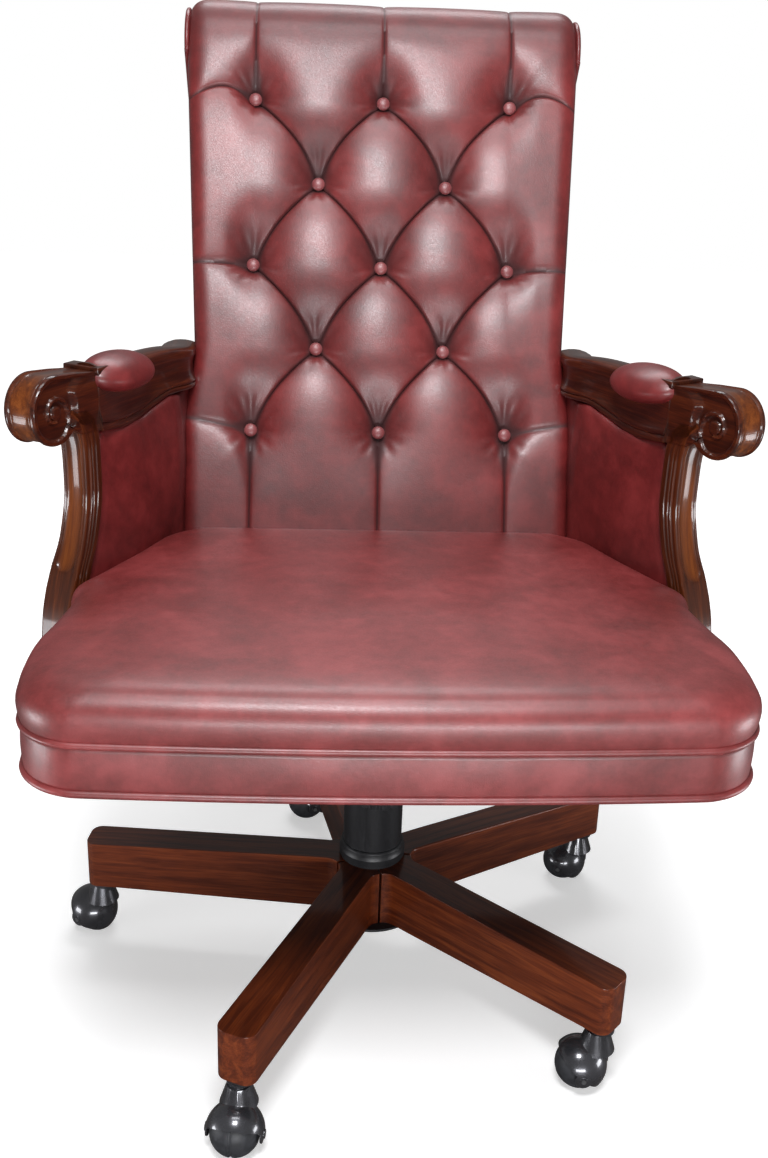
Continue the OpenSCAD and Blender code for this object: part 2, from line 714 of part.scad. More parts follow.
module back_shell() {
    z0 = -back_t;
    color(leather) on_back() {
        translate([0, 0, z0]) linear_extrude(height = shell_t) polygon([
            [-back_width(0), 36], [back_width(0), 36], [back_width(cushion_top), back_top],
            [-back_width(cushion_top), back_top]]);
        for (side = [-1, 1]) translate([0, 0, z0]) linear_extrude(height = back_t - pad_t - 0.1) polygon([
            [side * back_width(0), 36], [side * back_width(cushion_top), back_top],
            [side * (back_width(cushion_top) - shell_t), back_top], [side * (back_width(0) - shell_t), 36]]);
    }
}

// Sections of the roll: place across and how far the section is drawn in
facing_t = 7;
// How much smaller the facing's radius is than the roll's
facing_draw = 13;
roll_cuts = let (w = roll_half_w - facing_t - 0.1, p = button_pitch,
        end = [[w, facing_draw + 2], [w - 4, 8], [w - 12, 2.5], [w - 26, 0]]) concat(end,
    [[p + 13, 0], [p, 3.5], [p - 13, 0], [p / 2, 0], [13, 0], [0, 3.5], [-13, 0], [-p / 2, 0],
     [-p + 13, 0], [-p, 3.5], [-p - 13, 0]], [for (i = [3 : -1 : 0]) [-end[i][0], end[i][1]]]);

roll_low = cushion_top - 6;
roll_outline = concat(
    [[roll_low, -4]],
    [for (a = [15 - recline : 15 : 225]) [roll_t + roll_r * sin(a), -roll_r + roll_r * cos(a)]],
    [[roll_low, -pad_t - 30]]);

module back_roll() {
    ring_solid([for (c = roll_cuts) let (k = 1 - c[1] / roll_r)
        [for (p = roll_outline)
            [c[0], p[0] == roll_low ? roll_low : roll_t + (p[0] - roll_t) * k, -roll_r + (p[1] + roll_r) * k]]]);
}

facing_low = 600;

module roll_facings() {
    color(leather) on_back() for (side = [-1, 1])
        translate([side * (roll_half_w - facing_t / 2), 0, 0]) rotate([90, 0, 90])
            linear_extrude(height = facing_t, center = true) polygon(concat(
                [for (a = [-30 : 7.5 : 195]) let (r = roll_r - facing_draw)
                    [roll_t + r * sin(a), -roll_r + r * cos(a)]],
                [[facing_low + 8, -back_t - 9], [facing_low, -back_t - 2], [facing_low + 2, -back_t + 14]]));
}

// Arms. They are drawn for the right of the picture and mirrored for the left.

module in_arm_plane() {
    from_column() translate([eye_x, -eye_y, eye_z]) rotate([90, 0, arm_turn - 90])
        translate([0, 0, -arm_t]) children();
}

// Front edge of the post: along the plane and below the scroll's eye
post_front = [[-33, -24], [-37, -38], [-38, -54], [-38, -92], [-34, -118], [-26, -146], [-16, -168],
    [-7, -193], [-1, -213], [3, -238], [5, -250]];
post_foot = seat_outline_z - eye_z;
block_back = -64;
scroll_top = 37;

function scroll_r(a) = a >= 0 ? blend(33.8, scroll_top, a / 90) : blend(33.8, 32.4, -a / 90);

post_outline = concat(
    [[block_back, 26.5], [-30, 33.5]],
    [for (a = [100 : -10 : -150]) [scroll_r(a) * cos(a), scroll_r(a) * sin(a)]],
    post_front, [[5, post_foot], [5 - post_d, post_foot]],
    [for (i = [len(post_front) - 1 : -1 : 3]) [post_front[i][0] - post_d, post_front[i][1]]]);

// The post is sawn from a board along its plane, and its outer face below the
// scroll is cut back to a narrower stem that widens again to its foot.
module arm_post() {
    color(mahogany) difference() {
        in_arm_plane() linear_extrude(height = arm_t) polygon(post_outline);
        in_arm_plane() rotate([0, 90, 0]) linear_extrude(height = 120, center = true) polygon([
            [24, -1], [36, 5], [54, 6], [95, 6], [eye_rise - 120, 4.5], [eye_rise - 95, 2],
            [eye_rise - 70, -1]]);
        from_column() translate([post_bolt[0], post_bolt[1], board_z]) cylinder(r = 4 + running, h = 60);
    }
}

// Inner edge of the rail in plan, with its underside and top: from the back
// of the chair to the block behind the scroll
rail_rear_x = pad_foot - 3.5;
rail_path = [[rail_rear_x, 235, eye_z - 24, eye_z + 17], [rail_rear_x, 180, eye_z - 24, eye_z + 20],
    [pad_foot + 11.5, 134, eye_z - 22, eye_z + 25], [pad_foot + 27.5, 103, eye_z - 29, eye_z + 26],
    [eye_x - 61.3, 78, eye_z - 35, eye_z + 27], [eye_x - 48.3, 46, eye_z - 36.5, eye_z + 28]];
rail_end = concat([for (i = [0, 1]) on_face(block_back - 0.1)[i] + arm_n[i] * 3.5], [eye_z - 31,
    eye_z + 32.5]);

function rail_side(k) = k == 0 ? [1, 0] : k == len(rail_path) ? [-arm_n[0], -arm_n[1]]
    : let (p = k == len(rail_path) - 1 ? rail_end : rail_path[k + 1], q = rail_path[k - 1],
           d = [p[0] - q[0], p[1] - q[1]] / norm([p[0] - q[0], p[1] - q[1]])) [-d[1], d[0]];

rail_section = [[0, 0.12], [0, 0.88], [0.06, 0.97], [0.3, 1.06], [0.6, 1.05], [0.9, 0.93], [1, 0.78],
    [1, 0.12], [0.9, 0], [0.1, 0]];

function rail_ring(k) = let (p = k == len(rail_path) ? rail_end : rail_path[k], side = rail_side(k),
        w = rail_w)
    [for (s = rail_section) [p[0] + side[0] * w * s[0], p[1] + side[1] * w * s[0], blend(p[2], p[3], s[1])]];

pad_at = [eye_x - 44.3, 54, eye_z + 23];
pad_w = 28;
pad_h = 20;

function pad_rings(grow) = [for (v = [-80 : 16 : 80]) let (c = cos(v), l = (arm_pad_l + grow) * sin(v))
    [for (a = [0 : 24 : 336]) let (u = (pad_w + grow) * c * cos(a), h = (pad_h + grow) * c * sin(a))
        [pad_at[0] + l * 0.42 + u * 0.9, pad_at[1] - l * 0.9 + u * 0.42,
            pad_at[2] + h + l * 0.03 + u * 0.2]]];

module arm_pad() {
    color(leather) from_column() ring_solid(pad_rings(0));
}

module arm_rail() {
    color(mahogany) from_column() difference() {
        ring_solid([for (k = [len(rail_path) : -1 : 0]) rail_ring(k)]);
        ring_solid(pad_rings(seat_gap));
    }
}

panel_t = 34;

// Place across of the arm panel's inner face at a depth and a height. The
// panel runs under the rail and leans out a little towards the seat.
function panel_inner(y, z) = lookup(y, [[-60, eye_x - 1.3], [-30, eye_x - 12.3], [6, eye_x - 28.8],
    [50, eye_x - 50.3], [78, eye_x - 61.5], [103, pad_foot + 26.5], [134, pad_foot + 11.5], [152,
        pad_foot + 6.6],
    [180, pad_foot + 5.2], [215, pad_foot + 5.2]]) - 4 * sin(180 * (z - seat_outline_z) / (eye_rise - 18));

// Height of the rail's underside over a depth, and the panel's turn there
function rail_under(y) = eye_z - lookup(y, [[-60, 31], [6, 31], [46, 36.5], [78, 35], [103, 29], [134,
    22], [180, 24]]);
function panel_turn(y) = lookup(y, [[-60, arm_turn], [10, arm_turn], [50, 25], [80, 25], [110, 28], [150,
    20], [185, 4]]);

// A ring of the arm panel at a share of its height, back along its outer face
// and forward along its inner face, from the post to the side of the back.
function panel_ring(f) = let (
        low = seat_outline_z + 0.02,
        z = blend(low, eye_z - 28, f),
        front_a = lookup(z - eye_z, [for (i = [len(post_front) - 1 : -1 : 3]) [post_front[i][1],
            post_front[i][0]]]),
        first = [for (i = [0, 1]) on_face(front_a - post_d - 0.4)[i] - arm_n[i] * 4],
        rear_y = back_face_y(z) + 30,
        bulge = 4 * sin(180 * f),
        inner = [for (k = [0 : 10]) let (y = blend(first[1], rear_y, k / 10))
            [k == 0 ? first[0] : panel_inner(y, z), y, panel_turn(y), blend(low, rail_under(y) - 1.2, f)]])
    concat(
        [for (p = inner) [p[0] + (panel_t + bulge) * cos(p[2]), p[1] + (panel_t + bulge) * sin(p[2]), p[3]]],
        [for (k = [10 : -1 : 0]) [inner[k][0], inner[k][1], inner[k][3]]]);

module arm_panel() {
    color(leather) from_column() difference() {
        ring_solid([for (f = [0 : 0.125 : 1]) panel_ring(f)], strips = true);
        for (p = board_bolts) translate([abs(p[0]), p[1], board_z]) cylinder(r = 5, h = bolt_bite + 20);
    }
}

module left() {
    mirror([1, 0, 0]) children();
}

leg(0);  // leg_1
leg(1);  // leg_2
leg(2);  // leg_3
leg(3);  // leg_4
leg(4);  // leg_5
hub();
leg_bolts();
caster_sockets();
caster_hood(0);  // caster_hood_1
caster_hood(1);  // caster_hood_2
caster_hood(2);  // caster_hood_3
caster_hood(3);  // caster_hood_4
caster_hood(4);  // caster_hood_5
caster_stem(0);  // caster_stem_1
caster_stem(1);  // caster_stem_2
caster_stem(2);  // caster_stem_3
caster_stem(3);  // caster_stem_4
caster_stem(4);  // caster_stem_5
caster_axle(0);  // caster_axle_1
caster_axle(1);  // caster_axle_2
caster_axle(2);  // caster_axle_3
caster_axle(3);  // caster_axle_4
caster_axle(4);  // caster_axle_5
caster_wheel(0);  // caster_wheel_1
caster_wheel(1);  // caster_wheel_2
caster_wheel(2);  // caster_wheel_3
caster_wheel(3);  // caster_wheel_4
caster_wheel(4);  // caster_wheel_5
column_cover();
stand_tube();
guide_sleeve();
thrust_bearing();
piston_rod();
gas_cylinder();
upper_cover();
release_pin();
mechanism_housing();
height_lever();
tension_knob();
tilt_spring();
tilt_pin();
tilt_plate();
dust_cover();
seat_board();
frame_bolts();
seat_border();
seat_cushion();
back_board();
back_cushion();
roll_facings();
back_buttons();
back_shell();
left() arm_post();  // arm_post_left
arm_post();  // arm_post_right
left() arm_rail();  // arm_rail_left
arm_rail();  // arm_rail_right
left() arm_pad();  // arm_pad_left
arm_pad();  // arm_pad_right
left() arm_panel();  // arm_panel_left
arm_panel();  // arm_panel_right
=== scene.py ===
# %% [markdown]
# A tufted leather desk chair on a wooden star base
#
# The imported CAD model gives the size, place and body of every piece. This
# lesson dresses it: surfaces are worked out with numpy on grids of points, put
# into meshes, and given materials that are built from nodes.

# %% Load the frame
import math

import bmesh
import bpy
import numpy as np
from mathutils import Matrix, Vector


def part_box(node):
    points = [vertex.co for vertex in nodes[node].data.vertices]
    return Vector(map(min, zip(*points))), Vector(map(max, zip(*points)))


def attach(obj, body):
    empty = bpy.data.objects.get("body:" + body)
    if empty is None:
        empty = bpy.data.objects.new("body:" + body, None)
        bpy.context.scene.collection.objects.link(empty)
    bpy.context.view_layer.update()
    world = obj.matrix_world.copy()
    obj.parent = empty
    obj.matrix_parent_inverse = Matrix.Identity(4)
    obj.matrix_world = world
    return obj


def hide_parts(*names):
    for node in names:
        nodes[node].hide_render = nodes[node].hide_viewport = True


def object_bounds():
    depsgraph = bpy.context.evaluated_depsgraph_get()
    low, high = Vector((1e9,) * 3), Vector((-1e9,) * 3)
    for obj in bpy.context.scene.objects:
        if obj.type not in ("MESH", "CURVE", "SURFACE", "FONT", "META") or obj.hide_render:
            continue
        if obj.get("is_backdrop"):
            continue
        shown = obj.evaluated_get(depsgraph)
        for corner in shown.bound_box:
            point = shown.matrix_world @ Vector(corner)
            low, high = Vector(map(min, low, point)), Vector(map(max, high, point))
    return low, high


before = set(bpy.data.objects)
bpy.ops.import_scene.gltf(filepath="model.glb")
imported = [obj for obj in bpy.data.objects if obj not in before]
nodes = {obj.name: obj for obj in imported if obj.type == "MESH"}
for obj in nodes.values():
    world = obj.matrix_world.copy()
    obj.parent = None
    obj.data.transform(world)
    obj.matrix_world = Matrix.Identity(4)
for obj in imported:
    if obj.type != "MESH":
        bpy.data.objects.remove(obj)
cad_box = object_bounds()

MM = 0.001
# The column stands this far from the origin, along Y
COLUMN = np.array([0.0, -0.0505, 0.0])

# %% [markdown]
# Numbers to shapes
#
# A surface is a grid of points, row after row. The functions here turn such a
# grid into faces and a mesh. The mesh holds the real place of each point, and
# its object stays at the origin. The same shapes could be modelled by hand, but
# a formula can be read, checked against a measure and changed.

# %% Grids, curves and meshes
def grid_faces(rows, cols, close_rows=False, close_cols=False):
    """Quads of a grid of points: (i, j), (i, j+1), (i+1, j+1), (i+1, j), with the last row or
    column joined to the first where it closes."""
    i = np.arange(rows if close_rows else rows - 1)[:, None]
    j = np.arange(cols if close_cols else cols - 1)[None, :]
    below, right = (i + 1) % rows, (j + 1) % cols
    corners = [i * cols + j, i * cols + right, below * cols + right, below * cols + j]
    return np.stack(corners, -1).reshape(-1, 4)


def fan(ring, centre):
    """Triangles from each pair of neighbours in a ring of point numbers to a centre."""
    ring = np.asarray(ring)
    return np.stack([ring, np.roll(ring, -1), np.full(len(ring), centre)], -1)


def capped_rings(rows, cols):
    """Faces of a stack of closed rings: the first ring is fanned to the point that follows the
    grid's own, and the last ring to the point after that."""
    ring, end = np.arange(cols), rows * cols
    return [grid_faces(rows, cols, close_cols=True), fan(ring[::-1], end), fan(ring + end - cols, end + 1)]


def points_of(mesh):
    """A mesh's points as rows of x, y and z."""
    co = np.zeros(len(mesh.vertices) * 3, np.float32)
    mesh.vertices.foreach_get("co", co)
    return co.reshape(-1, 3)


def make_piece(name, points, faces, material, body, grain=None, crease=None, flip=False, rubbed=None):
    """A mesh object from points in metres and arrays of faces, riding on a body. grain gives each
    point its place along and across the wood. rubbed holds painted light on wood, lighter in its
    hollows, and painted shade on leather, darker in its folds. crease is the angle in degrees past
    which an edge stays sharp."""
    points = np.asarray(points, np.float32).reshape(-1, 3)
    faces = [f[:, ::-1] if flip else f for f in faces]
    corners = np.concatenate([f.ravel() for f in faces]).astype(np.int32)
    sizes = np.concatenate([np.full(len(f), f.shape[1]) for f in faces])
    starts = np.concatenate([[0], np.cumsum(sizes)[:-1]]).astype(np.int32)
    mesh = bpy.data.meshes.new(name)
    mesh.vertices.add(len(points))
    mesh.vertices.foreach_set("co", points.ravel())
    mesh.loops.add(len(corners))
    mesh.loops.foreach_set("vertex_index", corners)
    mesh.polygons.add(len(sizes))
    mesh.polygons.foreach_set("loop_start", starts)
    mesh.update(calc_edges=True)
    mesh.validate()
    mesh.shade_smooth()
    if crease is not None:
        mesh.set_sharp_from_angle(angle=math.radians(crease))
    if grain is not None:
        set_grain(mesh, grain)
    # This attribute holds painted light on the carved wood and painted shade on the leather
    if rubbed is not None:
        attribute = mesh.attributes.new("rubbed", "FLOAT", "POINT")
        attribute.data.foreach_set("value", np.asarray(rubbed, np.float32).ravel())
    obj = bpy.data.objects.new(name, mesh)
    bpy.context.scene.collection.objects.link(obj)
    mesh.materials.append(material)
    if body:
        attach(obj, body)
    return obj


def set_grain(mesh, grain):
    """Stores each point's place along, across and through the wood, in metres, as the attribute
    that the wood's material reads."""
    attribute = mesh.attributes.new("grain", "FLOAT_VECTOR", "POINT")
    attribute.data.foreach_set("vector", np.asarray(grain, np.float32).ravel())


def unit(v):
    """A vector, or each row of an array of vectors, at length 1."""
    v = np.asarray(v, float)
    return v / np.maximum(np.linalg.norm(v, axis=-1, keepdims=True), 1e-12)


def length_along(path):
    """Distance along a path from its start to each of its points."""
    return np.concatenate([[0], np.cumsum(np.linalg.norm(np.diff(path, axis=0), axis=1))])


def smooth_path(points, count, closed=False):
    """Catmull-Rom curve through points: between p1 and p2 it is the cubic with slopes (p2-p0)/2 and
    (p3-p1)/2. It is sampled evenly by length."""
    p = np.asarray(points, float)
    ends = (p[-1:], p[:2]) if closed else (2 * p[:1] - p[1:2], 2 * p[-1:] - p[-2:-1])
    q = np.concatenate([ends[0], p, ends[1]])
    n = len(p) if closed else len(p) - 1
    steps_each = 24
    t = np.linspace(0, 1, steps_each, endpoint=False)[None, :, None]
    p0, p1, p2, p3 = (q[k : k + n][:, None] for k in range(4))
    square, cube = 2 * p0 - 5 * p1 + 4 * p2 - p3, 3 * p1 - p0 - 3 * p2 + p3
    fine = 0.5 * (2 * p1 + (p2 - p0) * t + square * t**2 + cube * t**3)
    fine = fine.reshape(-1, p.shape[1])
    fine = np.concatenate([fine, fine[:1] if closed else p[-1:]])
    length = length_along(fine)
    at = np.linspace(0, length[-1], count, endpoint=not closed)
    return np.stack([np.interp(at, length, fine[:, k]) for k in range(p.shape[1])], -1)


def across_path(path, closed, up):
    """Directions to the side of and above a path: side is the cross product of the way along and an
    up vector."""
    if closed:
        along = unit(np.roll(path, -1, 0) - np.roll(path, 1, 0))
    else:
        along = unit(np.gradient(path, axis=0))
    side = unit(np.cross(along, np.broadcast_to(up, path.shape)))
    return side, np.cross(side, along)


def tube(path, radius, closed=False, up=(0, 0, 1), sides=12):
    """Points and faces of a round cord: a circle of the radius carried along a path. An open end
    reaches 0.6 of the radius further and narrows to 0.35 of it, which rounds it."""
    path = np.asarray(path, float)
    r = np.full(len(path), float(radius))
    if not closed:
        reach = unit(np.gradient(path, axis=0))[[0, -1]] * radius * 0.6
        path = np.concatenate([path[:1] - reach[:1], path, path[-1:] + reach[1:]])
        r = np.concatenate([[radius * 0.35], r, [radius * 0.35]])
    side, above = across_path(path, closed, up)
    a = np.linspace(0, 2 * math.pi, sides, endpoint=False)
    ring = side[:, None] * np.cos(a)[:, None] + above[:, None] * np.sin(a)[:, None]
    points = (path[:, None] + ring * r[:, None, None]).reshape(-1, 3)
    if closed:
        return points, [grid_faces(len(path), sides, close_rows=True, close_cols=True)]
    return np.concatenate([points, path[[0, -1]]]), capped_rings(len(path), sides)


def joined(parts):
    """One list of points and faces from several, each one's faces counted on from the points before
    it."""
    start = np.cumsum([0] + [len(p) for p, _ in parts[:-1]])
    return np.concatenate([p for p, _ in parts]), [f + s for (_, fs), s in zip(parts, start) for f in fs]


def smoothstep(x, a, b):
    """0 before a, 1 after b and 3t^2 - 2t^3 between."""
    t = np.clip((np.asarray(x, float) - a) / (b - a), 0, 1)
    return t * t * (3 - 2 * t)


def bump_at(x, centre, width):
    """A rounded ridge: 1 - ((x - centre) / width)^2, and 0 outside."""
    return np.clip(1 - ((x - centre) / width) ** 2, 0, None)


# %% [markdown]
# Materials
#
# Each material is a small net of nodes. A colour is written as the eye reads
# it on a screen, and one function makes it linear. One other function adds a
# node with its settings and links. Patterns take their scale from millimetres.
# Painted pictures could be laid over the pieces instead, but nodes have no
# seams, don't repeat and keep their real size.

# %% Helpers for materials
def colour(text):
    """An sRGB hex colour as linear light: ((c + 0.055) / 1.055)^2.4 above 0.04045, and c / 12.92
    below."""
    c = np.array([int(text[k : k + 2], 16) / 255 for k in (1, 3, 5)])
    return (*np.where(c > 0.04045, ((c + 0.055) / 1.055) ** 2.4, c / 12.92), 1.0)


def add(tree, kind, inputs=None, **settings):
    """Adds a node. settings are its own values, and inputs are its sockets' values or the output
    sockets that feed them."""
    made = tree.nodes.new(kind)
    for key, value in settings.items():
        setattr(made, key, value)
    for key, value in (inputs or {}).items():
        if isinstance(value, bpy.types.NodeSocket):
            tree.links.new(value, made.inputs[key])
        else:
            made.inputs[key].default_value = value
    return made


def ramp(tree, factor, stops):
    """A colour ramp through (place, colour) stops."""
    stops = list(stops)
    made = add(tree, "ShaderNodeValToRGB", {0: factor})
    band = made.color_ramp
    while len(band.elements) < len(stops):
        band.elements.new(0.5)
    for element, (place, tone) in zip(band.elements, stops):
        element.position = place
        element.color = colour(tone)
    return made.outputs[0]


def start_material(name):
    """A material with an empty net and its surface shader."""
    made = bpy.data.materials.new(name)
    made.use_nodes = True
    tree = made.node_tree
    tree.nodes.clear()
    shader = add(tree, "ShaderNodeBsdfPrincipled")
    add(tree, "ShaderNodeOutputMaterial", {"Surface": shader.outputs[0]})
    return made, tree, shader


def per_mm(size):
    """The scale of a noise pattern whose features are about size millimetres across."""
    return 1000.0 / size


# %% [markdown]
# Leather
#
# The hide is corrected-grain cowhide, dyed oxblood and rubbed by hand with a
# darker antique finish, which leaves clouds of colour some centimetres wide.
# Its grain is a net of small pebbles about 1 mm across. That is too fine for
# the picture, so the pebbles are drawn at about twice that size. The finish is
# a semi-matt acrylic top coat, so highlights are wide and soft. In the folds,
# above each button and over the top of the roll the colour is darkened as
# painted shade, and the leather is duller: an attribute of the mesh marks these
# places, because no pattern in space could follow a fold.

# %% Oxblood leather
def oxblood_leather(name, tones, rough=0.4, pebble=2.2, shine=0.7):
    """Antiqued top-grain leather: clouds at 75 and 15 mm mix its tones, specks at 4 mm wear to the
    lightest one, and Voronoi pebbles and fine noise make its bump and gloss. Where the attribute
    rubbed is 1, as in the folds, the colour is darkened nearly to black as painted shade, and the
    leather is duller."""
    made, tree, shader = start_material(name)
    place = add(tree, "ShaderNodeTexCoord").outputs["Object"]
    clouds = add(tree, "ShaderNodeTexNoise", {"Vector": place, "Scale": per_mm(75), "Detail": 3.0,
                                              "Roughness": 0.55, "Distortion": 0.6})
    mottle = add(tree, "ShaderNodeTexNoise", {"Vector": place, "Scale": per_mm(15), "Detail": 5.0,
                                              "Roughness": 0.62})
    both = add(tree, "ShaderNodeMix", {"Factor": 0.36, "A": clouds.outputs[0], "B": mottle.outputs[0]})
    tone = ramp(tree, both.outputs[0], zip((0.3, 0.43, 0.52, 0.6, 0.72), tones))
    speck = add(tree, "ShaderNodeTexNoise", {"Vector": place, "Scale": per_mm(4), "Detail": 3.0,
                                             "Roughness": 0.6})
    wear = add(tree, "ShaderNodeMapRange", {0: speck.outputs[0], 1: 0.35, 2: 0.75, 3: 0.0, 4: 0.22})
    wear_and_painted_light = add(tree, "ShaderNodeMix", {"Factor": wear.outputs[0], "A": tone, "B": colour(tones[-1])},
               data_type="RGBA")
    # Painted shade: where the mesh's attribute is 1 the colour darkens towards #2a080a
    fold = add(tree, "ShaderNodeAttribute", attribute_name="rubbed").outputs["Fac"]
    painted_shade_mix = add(tree, "ShaderNodeMix", {"Factor": fold, "A": wear_and_painted_light.outputs[2], "B": colour("#2a080a")},
               data_type="RGBA")
    tree.links.new(painted_shade_mix.outputs[2], shader.inputs["Base Color"])
    pebbles = add(tree, "ShaderNodeTexVoronoi", {"Vector": place, "Scale": per_mm(pebble),
                                                 "Randomness": 0.9}, feature="DISTANCE_TO_EDGE")
    low = add(tree, "ShaderNodeMapRange", {0: pebbles.outputs[0], 1: 0.0, 2: 0.22, 3: 0.0, 4: 1.0})
    fine = add(tree, "ShaderNodeTexNoise", {"Vector": place, "Scale": per_mm(1.6), "Detail": 2.0})
    grain = add(tree, "ShaderNodeBump", {"Height": low.outputs[0], "Strength": 0.12, "Distance": 0.0003})
    skin = add(tree, "ShaderNodeBump", {"Height": mottle.outputs[0], "Strength": 0.12, "Distance": 0.001,
                                        "Normal": grain.outputs[0]})
    tree.links.new(skin.outputs[0], shader.inputs["Normal"])
    gloss = add(tree, "ShaderNodeMapRange", {0: fine.outputs[0], 1: 0.3, 2: 0.7,
                                             3: rough - 0.05, 4: rough + 0.07})
    dull = add(tree, "ShaderNodeMath", {0: fold, 1: 0.3, 2: gloss.outputs[0]}, operation="MULTIPLY_ADD")
    tree.links.new(dull.outputs[0], shader.inputs["Roughness"])
    shader.inputs["Specular IOR Level"].default_value = shine
    shader.inputs["Coat Weight"].default_value = 0.16
    shader.inputs["Coat Roughness"].default_value = 0.22
    return made


leather = oxblood_leather("antiqued_oxblood_leather",
                          ("#4c1212", "#5c1717", "#691d1d", "#752424", "#822c2c"))
# The seat's tones are paler as painted light, and its leather reflects more
seat_leather_painted_light = oxblood_leather("oxblood_leather_with_painted_light", rough=0.43, shine=0.85,
                               tones=("#591817", "#6b201f", "#782828", "#853131", "#923b3b"))
# The hide is stretched thin over each button, which makes it paler and its grain finer
button_leather = oxblood_leather("button_leather", ("#6a2a2c", "#763436", "#823f41", "#8c494a", "#965453"),
                                 rough=0.42, pebble=1.2)
print("leather:", leather.name, seat_leather_painted_light.name, button_leather.name)

# %% [markdown]
# Wood
#
# The legs and arms are solid mahogany, stained red-brown and sprayed with
# gloss lacquer. The grain runs along each piece, so it reads the attribute
# that each wooden mesh carries: a pattern in the object's own place would run
# the same way through all five legs. Under the clear coat the wood itself is a
# little rough, which gives one sharp highlight on top of a soft one.

# %% Lacquered mahogany
def lacquered_mahogany(name, tones, painted_light_tones):
    """Stained mahogany under lacquer: noise stretched along the grain gives bands about 9 mm wide
    and pores about 1 mm wide. Where the attribute rubbed is 1, the colour gives way to lighter
    tones, as painted light in the hollows of the carving."""
    made, tree, shader = start_material(name)
    place = add(tree, "ShaderNodeAttribute", attribute_name="grain").outputs["Vector"]
    band_way = add(tree, "ShaderNodeMapping", {"Vector": place,
                                               "Scale": (per_mm(160), per_mm(9), per_mm(9))})
    bands = add(tree, "ShaderNodeTexNoise", {"Vector": band_way.outputs[0], "Scale": 1.0, "Detail": 4.0,
                                             "Roughness": 0.6, "Distortion": 0.9})
    pore_way = add(tree, "ShaderNodeMapping", {"Vector": place,
                                               "Scale": (per_mm(28), per_mm(1.3), per_mm(1.3))})
    pores = add(tree, "ShaderNodeTexNoise", {"Vector": pore_way.outputs[0], "Scale": 1.0, "Detail": 2.0,
                                             "Roughness": 0.5})
    mixed = add(tree, "ShaderNodeMix", {"Factor": 0.3, "A": bands.outputs[0], "B": pores.outputs[0]})
    tone = ramp(tree, mixed.outputs[0], zip((0.3, 0.44, 0.54, 0.68), tones))
    # Painted light: lighter tones for the hollows of the carving
    light = ramp(tree, mixed.outputs[0], zip((0.3, 0.5, 0.7), painted_light_tones))
    rubbed = add(tree, "ShaderNodeAttribute", attribute_name="rubbed").outputs["Fac"]
    stain_and_painted_light = add(tree, "ShaderNodeMix", {"Factor": rubbed, "A": tone, "B": light}, data_type="RGBA")
    tree.links.new(stain_and_painted_light.outputs[2], shader.inputs["Base Color"])
    shader.inputs["Roughness"].default_value = 0.38
    shader.inputs["Specular IOR Level"].default_value = 0.2
    shader.inputs["Coat Weight"].default_value = 0.6
    shader.inputs["Coat Roughness"].default_value = 0.08
    dents = add(tree, "ShaderNodeBump", {"Height": pores.outputs[0], "Strength": 0.12, "Distance": 0.0004})
    tree.links.new(dents.outputs[0], shader.inputs["Normal"])
    return made


# The second set of tones in each is painted light, shown only where a mesh's attribute asks for it: in the
# arms' carved hollows
leg_wood = lacquered_mahogany("lacquered_mahogany_legs", ("#3c1409", "#50200d", "#632a11", "#763817"),
                              ("#5a260e", "#7a3a14", "#94501e"))
arm_wood = lacquered_mahogany("lacquered_mahogany_arms", ("#1f0804", "#301006", "#451a0a", "#5c2a10"),
                              ("#4c1f09", "#68320d", "#84471a"))
print("wood:", leg_wood.name, arm_wood.name)


# %% [markdown]
# Metals and plastics
#
# The caster hoods are stove-enamelled in a metallic black, the column covers
# are moulded ABS, the wheels nylon, and the hidden metal is zinc-plated or
# powder-coated steel. They differ mostly in how sharp their highlights are, so
# one function makes them all from a few values.

# %% Plain finishes
def plain_finish(name, tone, other, rough, speckle, metallic=0.0, coat=0.0, bump=0.1):
    """Two close tones mixed by noise whose grains are speckle millimetres across, which also makes
    a slight bump."""
    made, tree, shader = start_material(name)
    place = add(tree, "ShaderNodeTexCoord").outputs["Object"]
    noise = add(tree, "ShaderNodeTexNoise", {"Vector": place, "Scale": per_mm(speckle), "Detail": 3.0,
                                             "Roughness": 0.6})
    tree.links.new(ramp(tree, noise.outputs[0], [(0.35, tone), (0.65, other)]), shader.inputs["Base Color"])
    uneven = add(tree, "ShaderNodeMapRange", {0: noise.outputs[0], 1: 0.3, 2: 0.7,
                                              3: rough * 0.88, 4: rough * 1.12})
    tree.links.new(uneven.outputs[0], shader.inputs["Roughness"])
    shader.inputs["Metallic"].default_value = metallic
    shader.inputs["Coat Weight"].default_value = coat
    shader.inputs["Coat Roughness"].default_value = 0.06
    skin = add(tree, "ShaderNodeBump", {"Height": noise.outputs[0], "Strength": bump, "Distance": 0.0004})
    tree.links.new(skin.outputs[0], shader.inputs["Normal"])
    return made


black_enamel = plain_finish("black_stoved_enamel", "#3a3a3d", "#4a4a4e", 0.26, 30,
                            metallic=0.6, coat=1.0, bump=0.05)
cover_abs = plain_finish("black_moulded_ABS", "#121214", "#1a1a1d", 0.42, 3, bump=0.12)
wheel_nylon = plain_finish("charcoal_nylon", "#232427", "#303135", 0.5, 6, bump=0.1)
powder_coat = plain_finish("black_powder_coat", "#1a1a1c", "#242427", 0.5, 2.2, bump=0.3)
zinc = plain_finish("zinc_plated_steel", "#9a9ca0", "#b4b6b8", 0.34, 8, metallic=1.0)
plywood = plain_finish("stained_birch_plywood", "#33241a", "#433023", 0.6, 12, bump=0.2)
acetal = plain_finish("white_acetal", "#d8d8d2", "#e4e4df", 0.4, 5)
dust_cloth = plain_finish("black_nonwoven_cloth", "#101012", "#1b1b1d", 0.9, 1.6, bump=0.5)
print("plain finishes:", black_enamel.name, cover_abs.name)

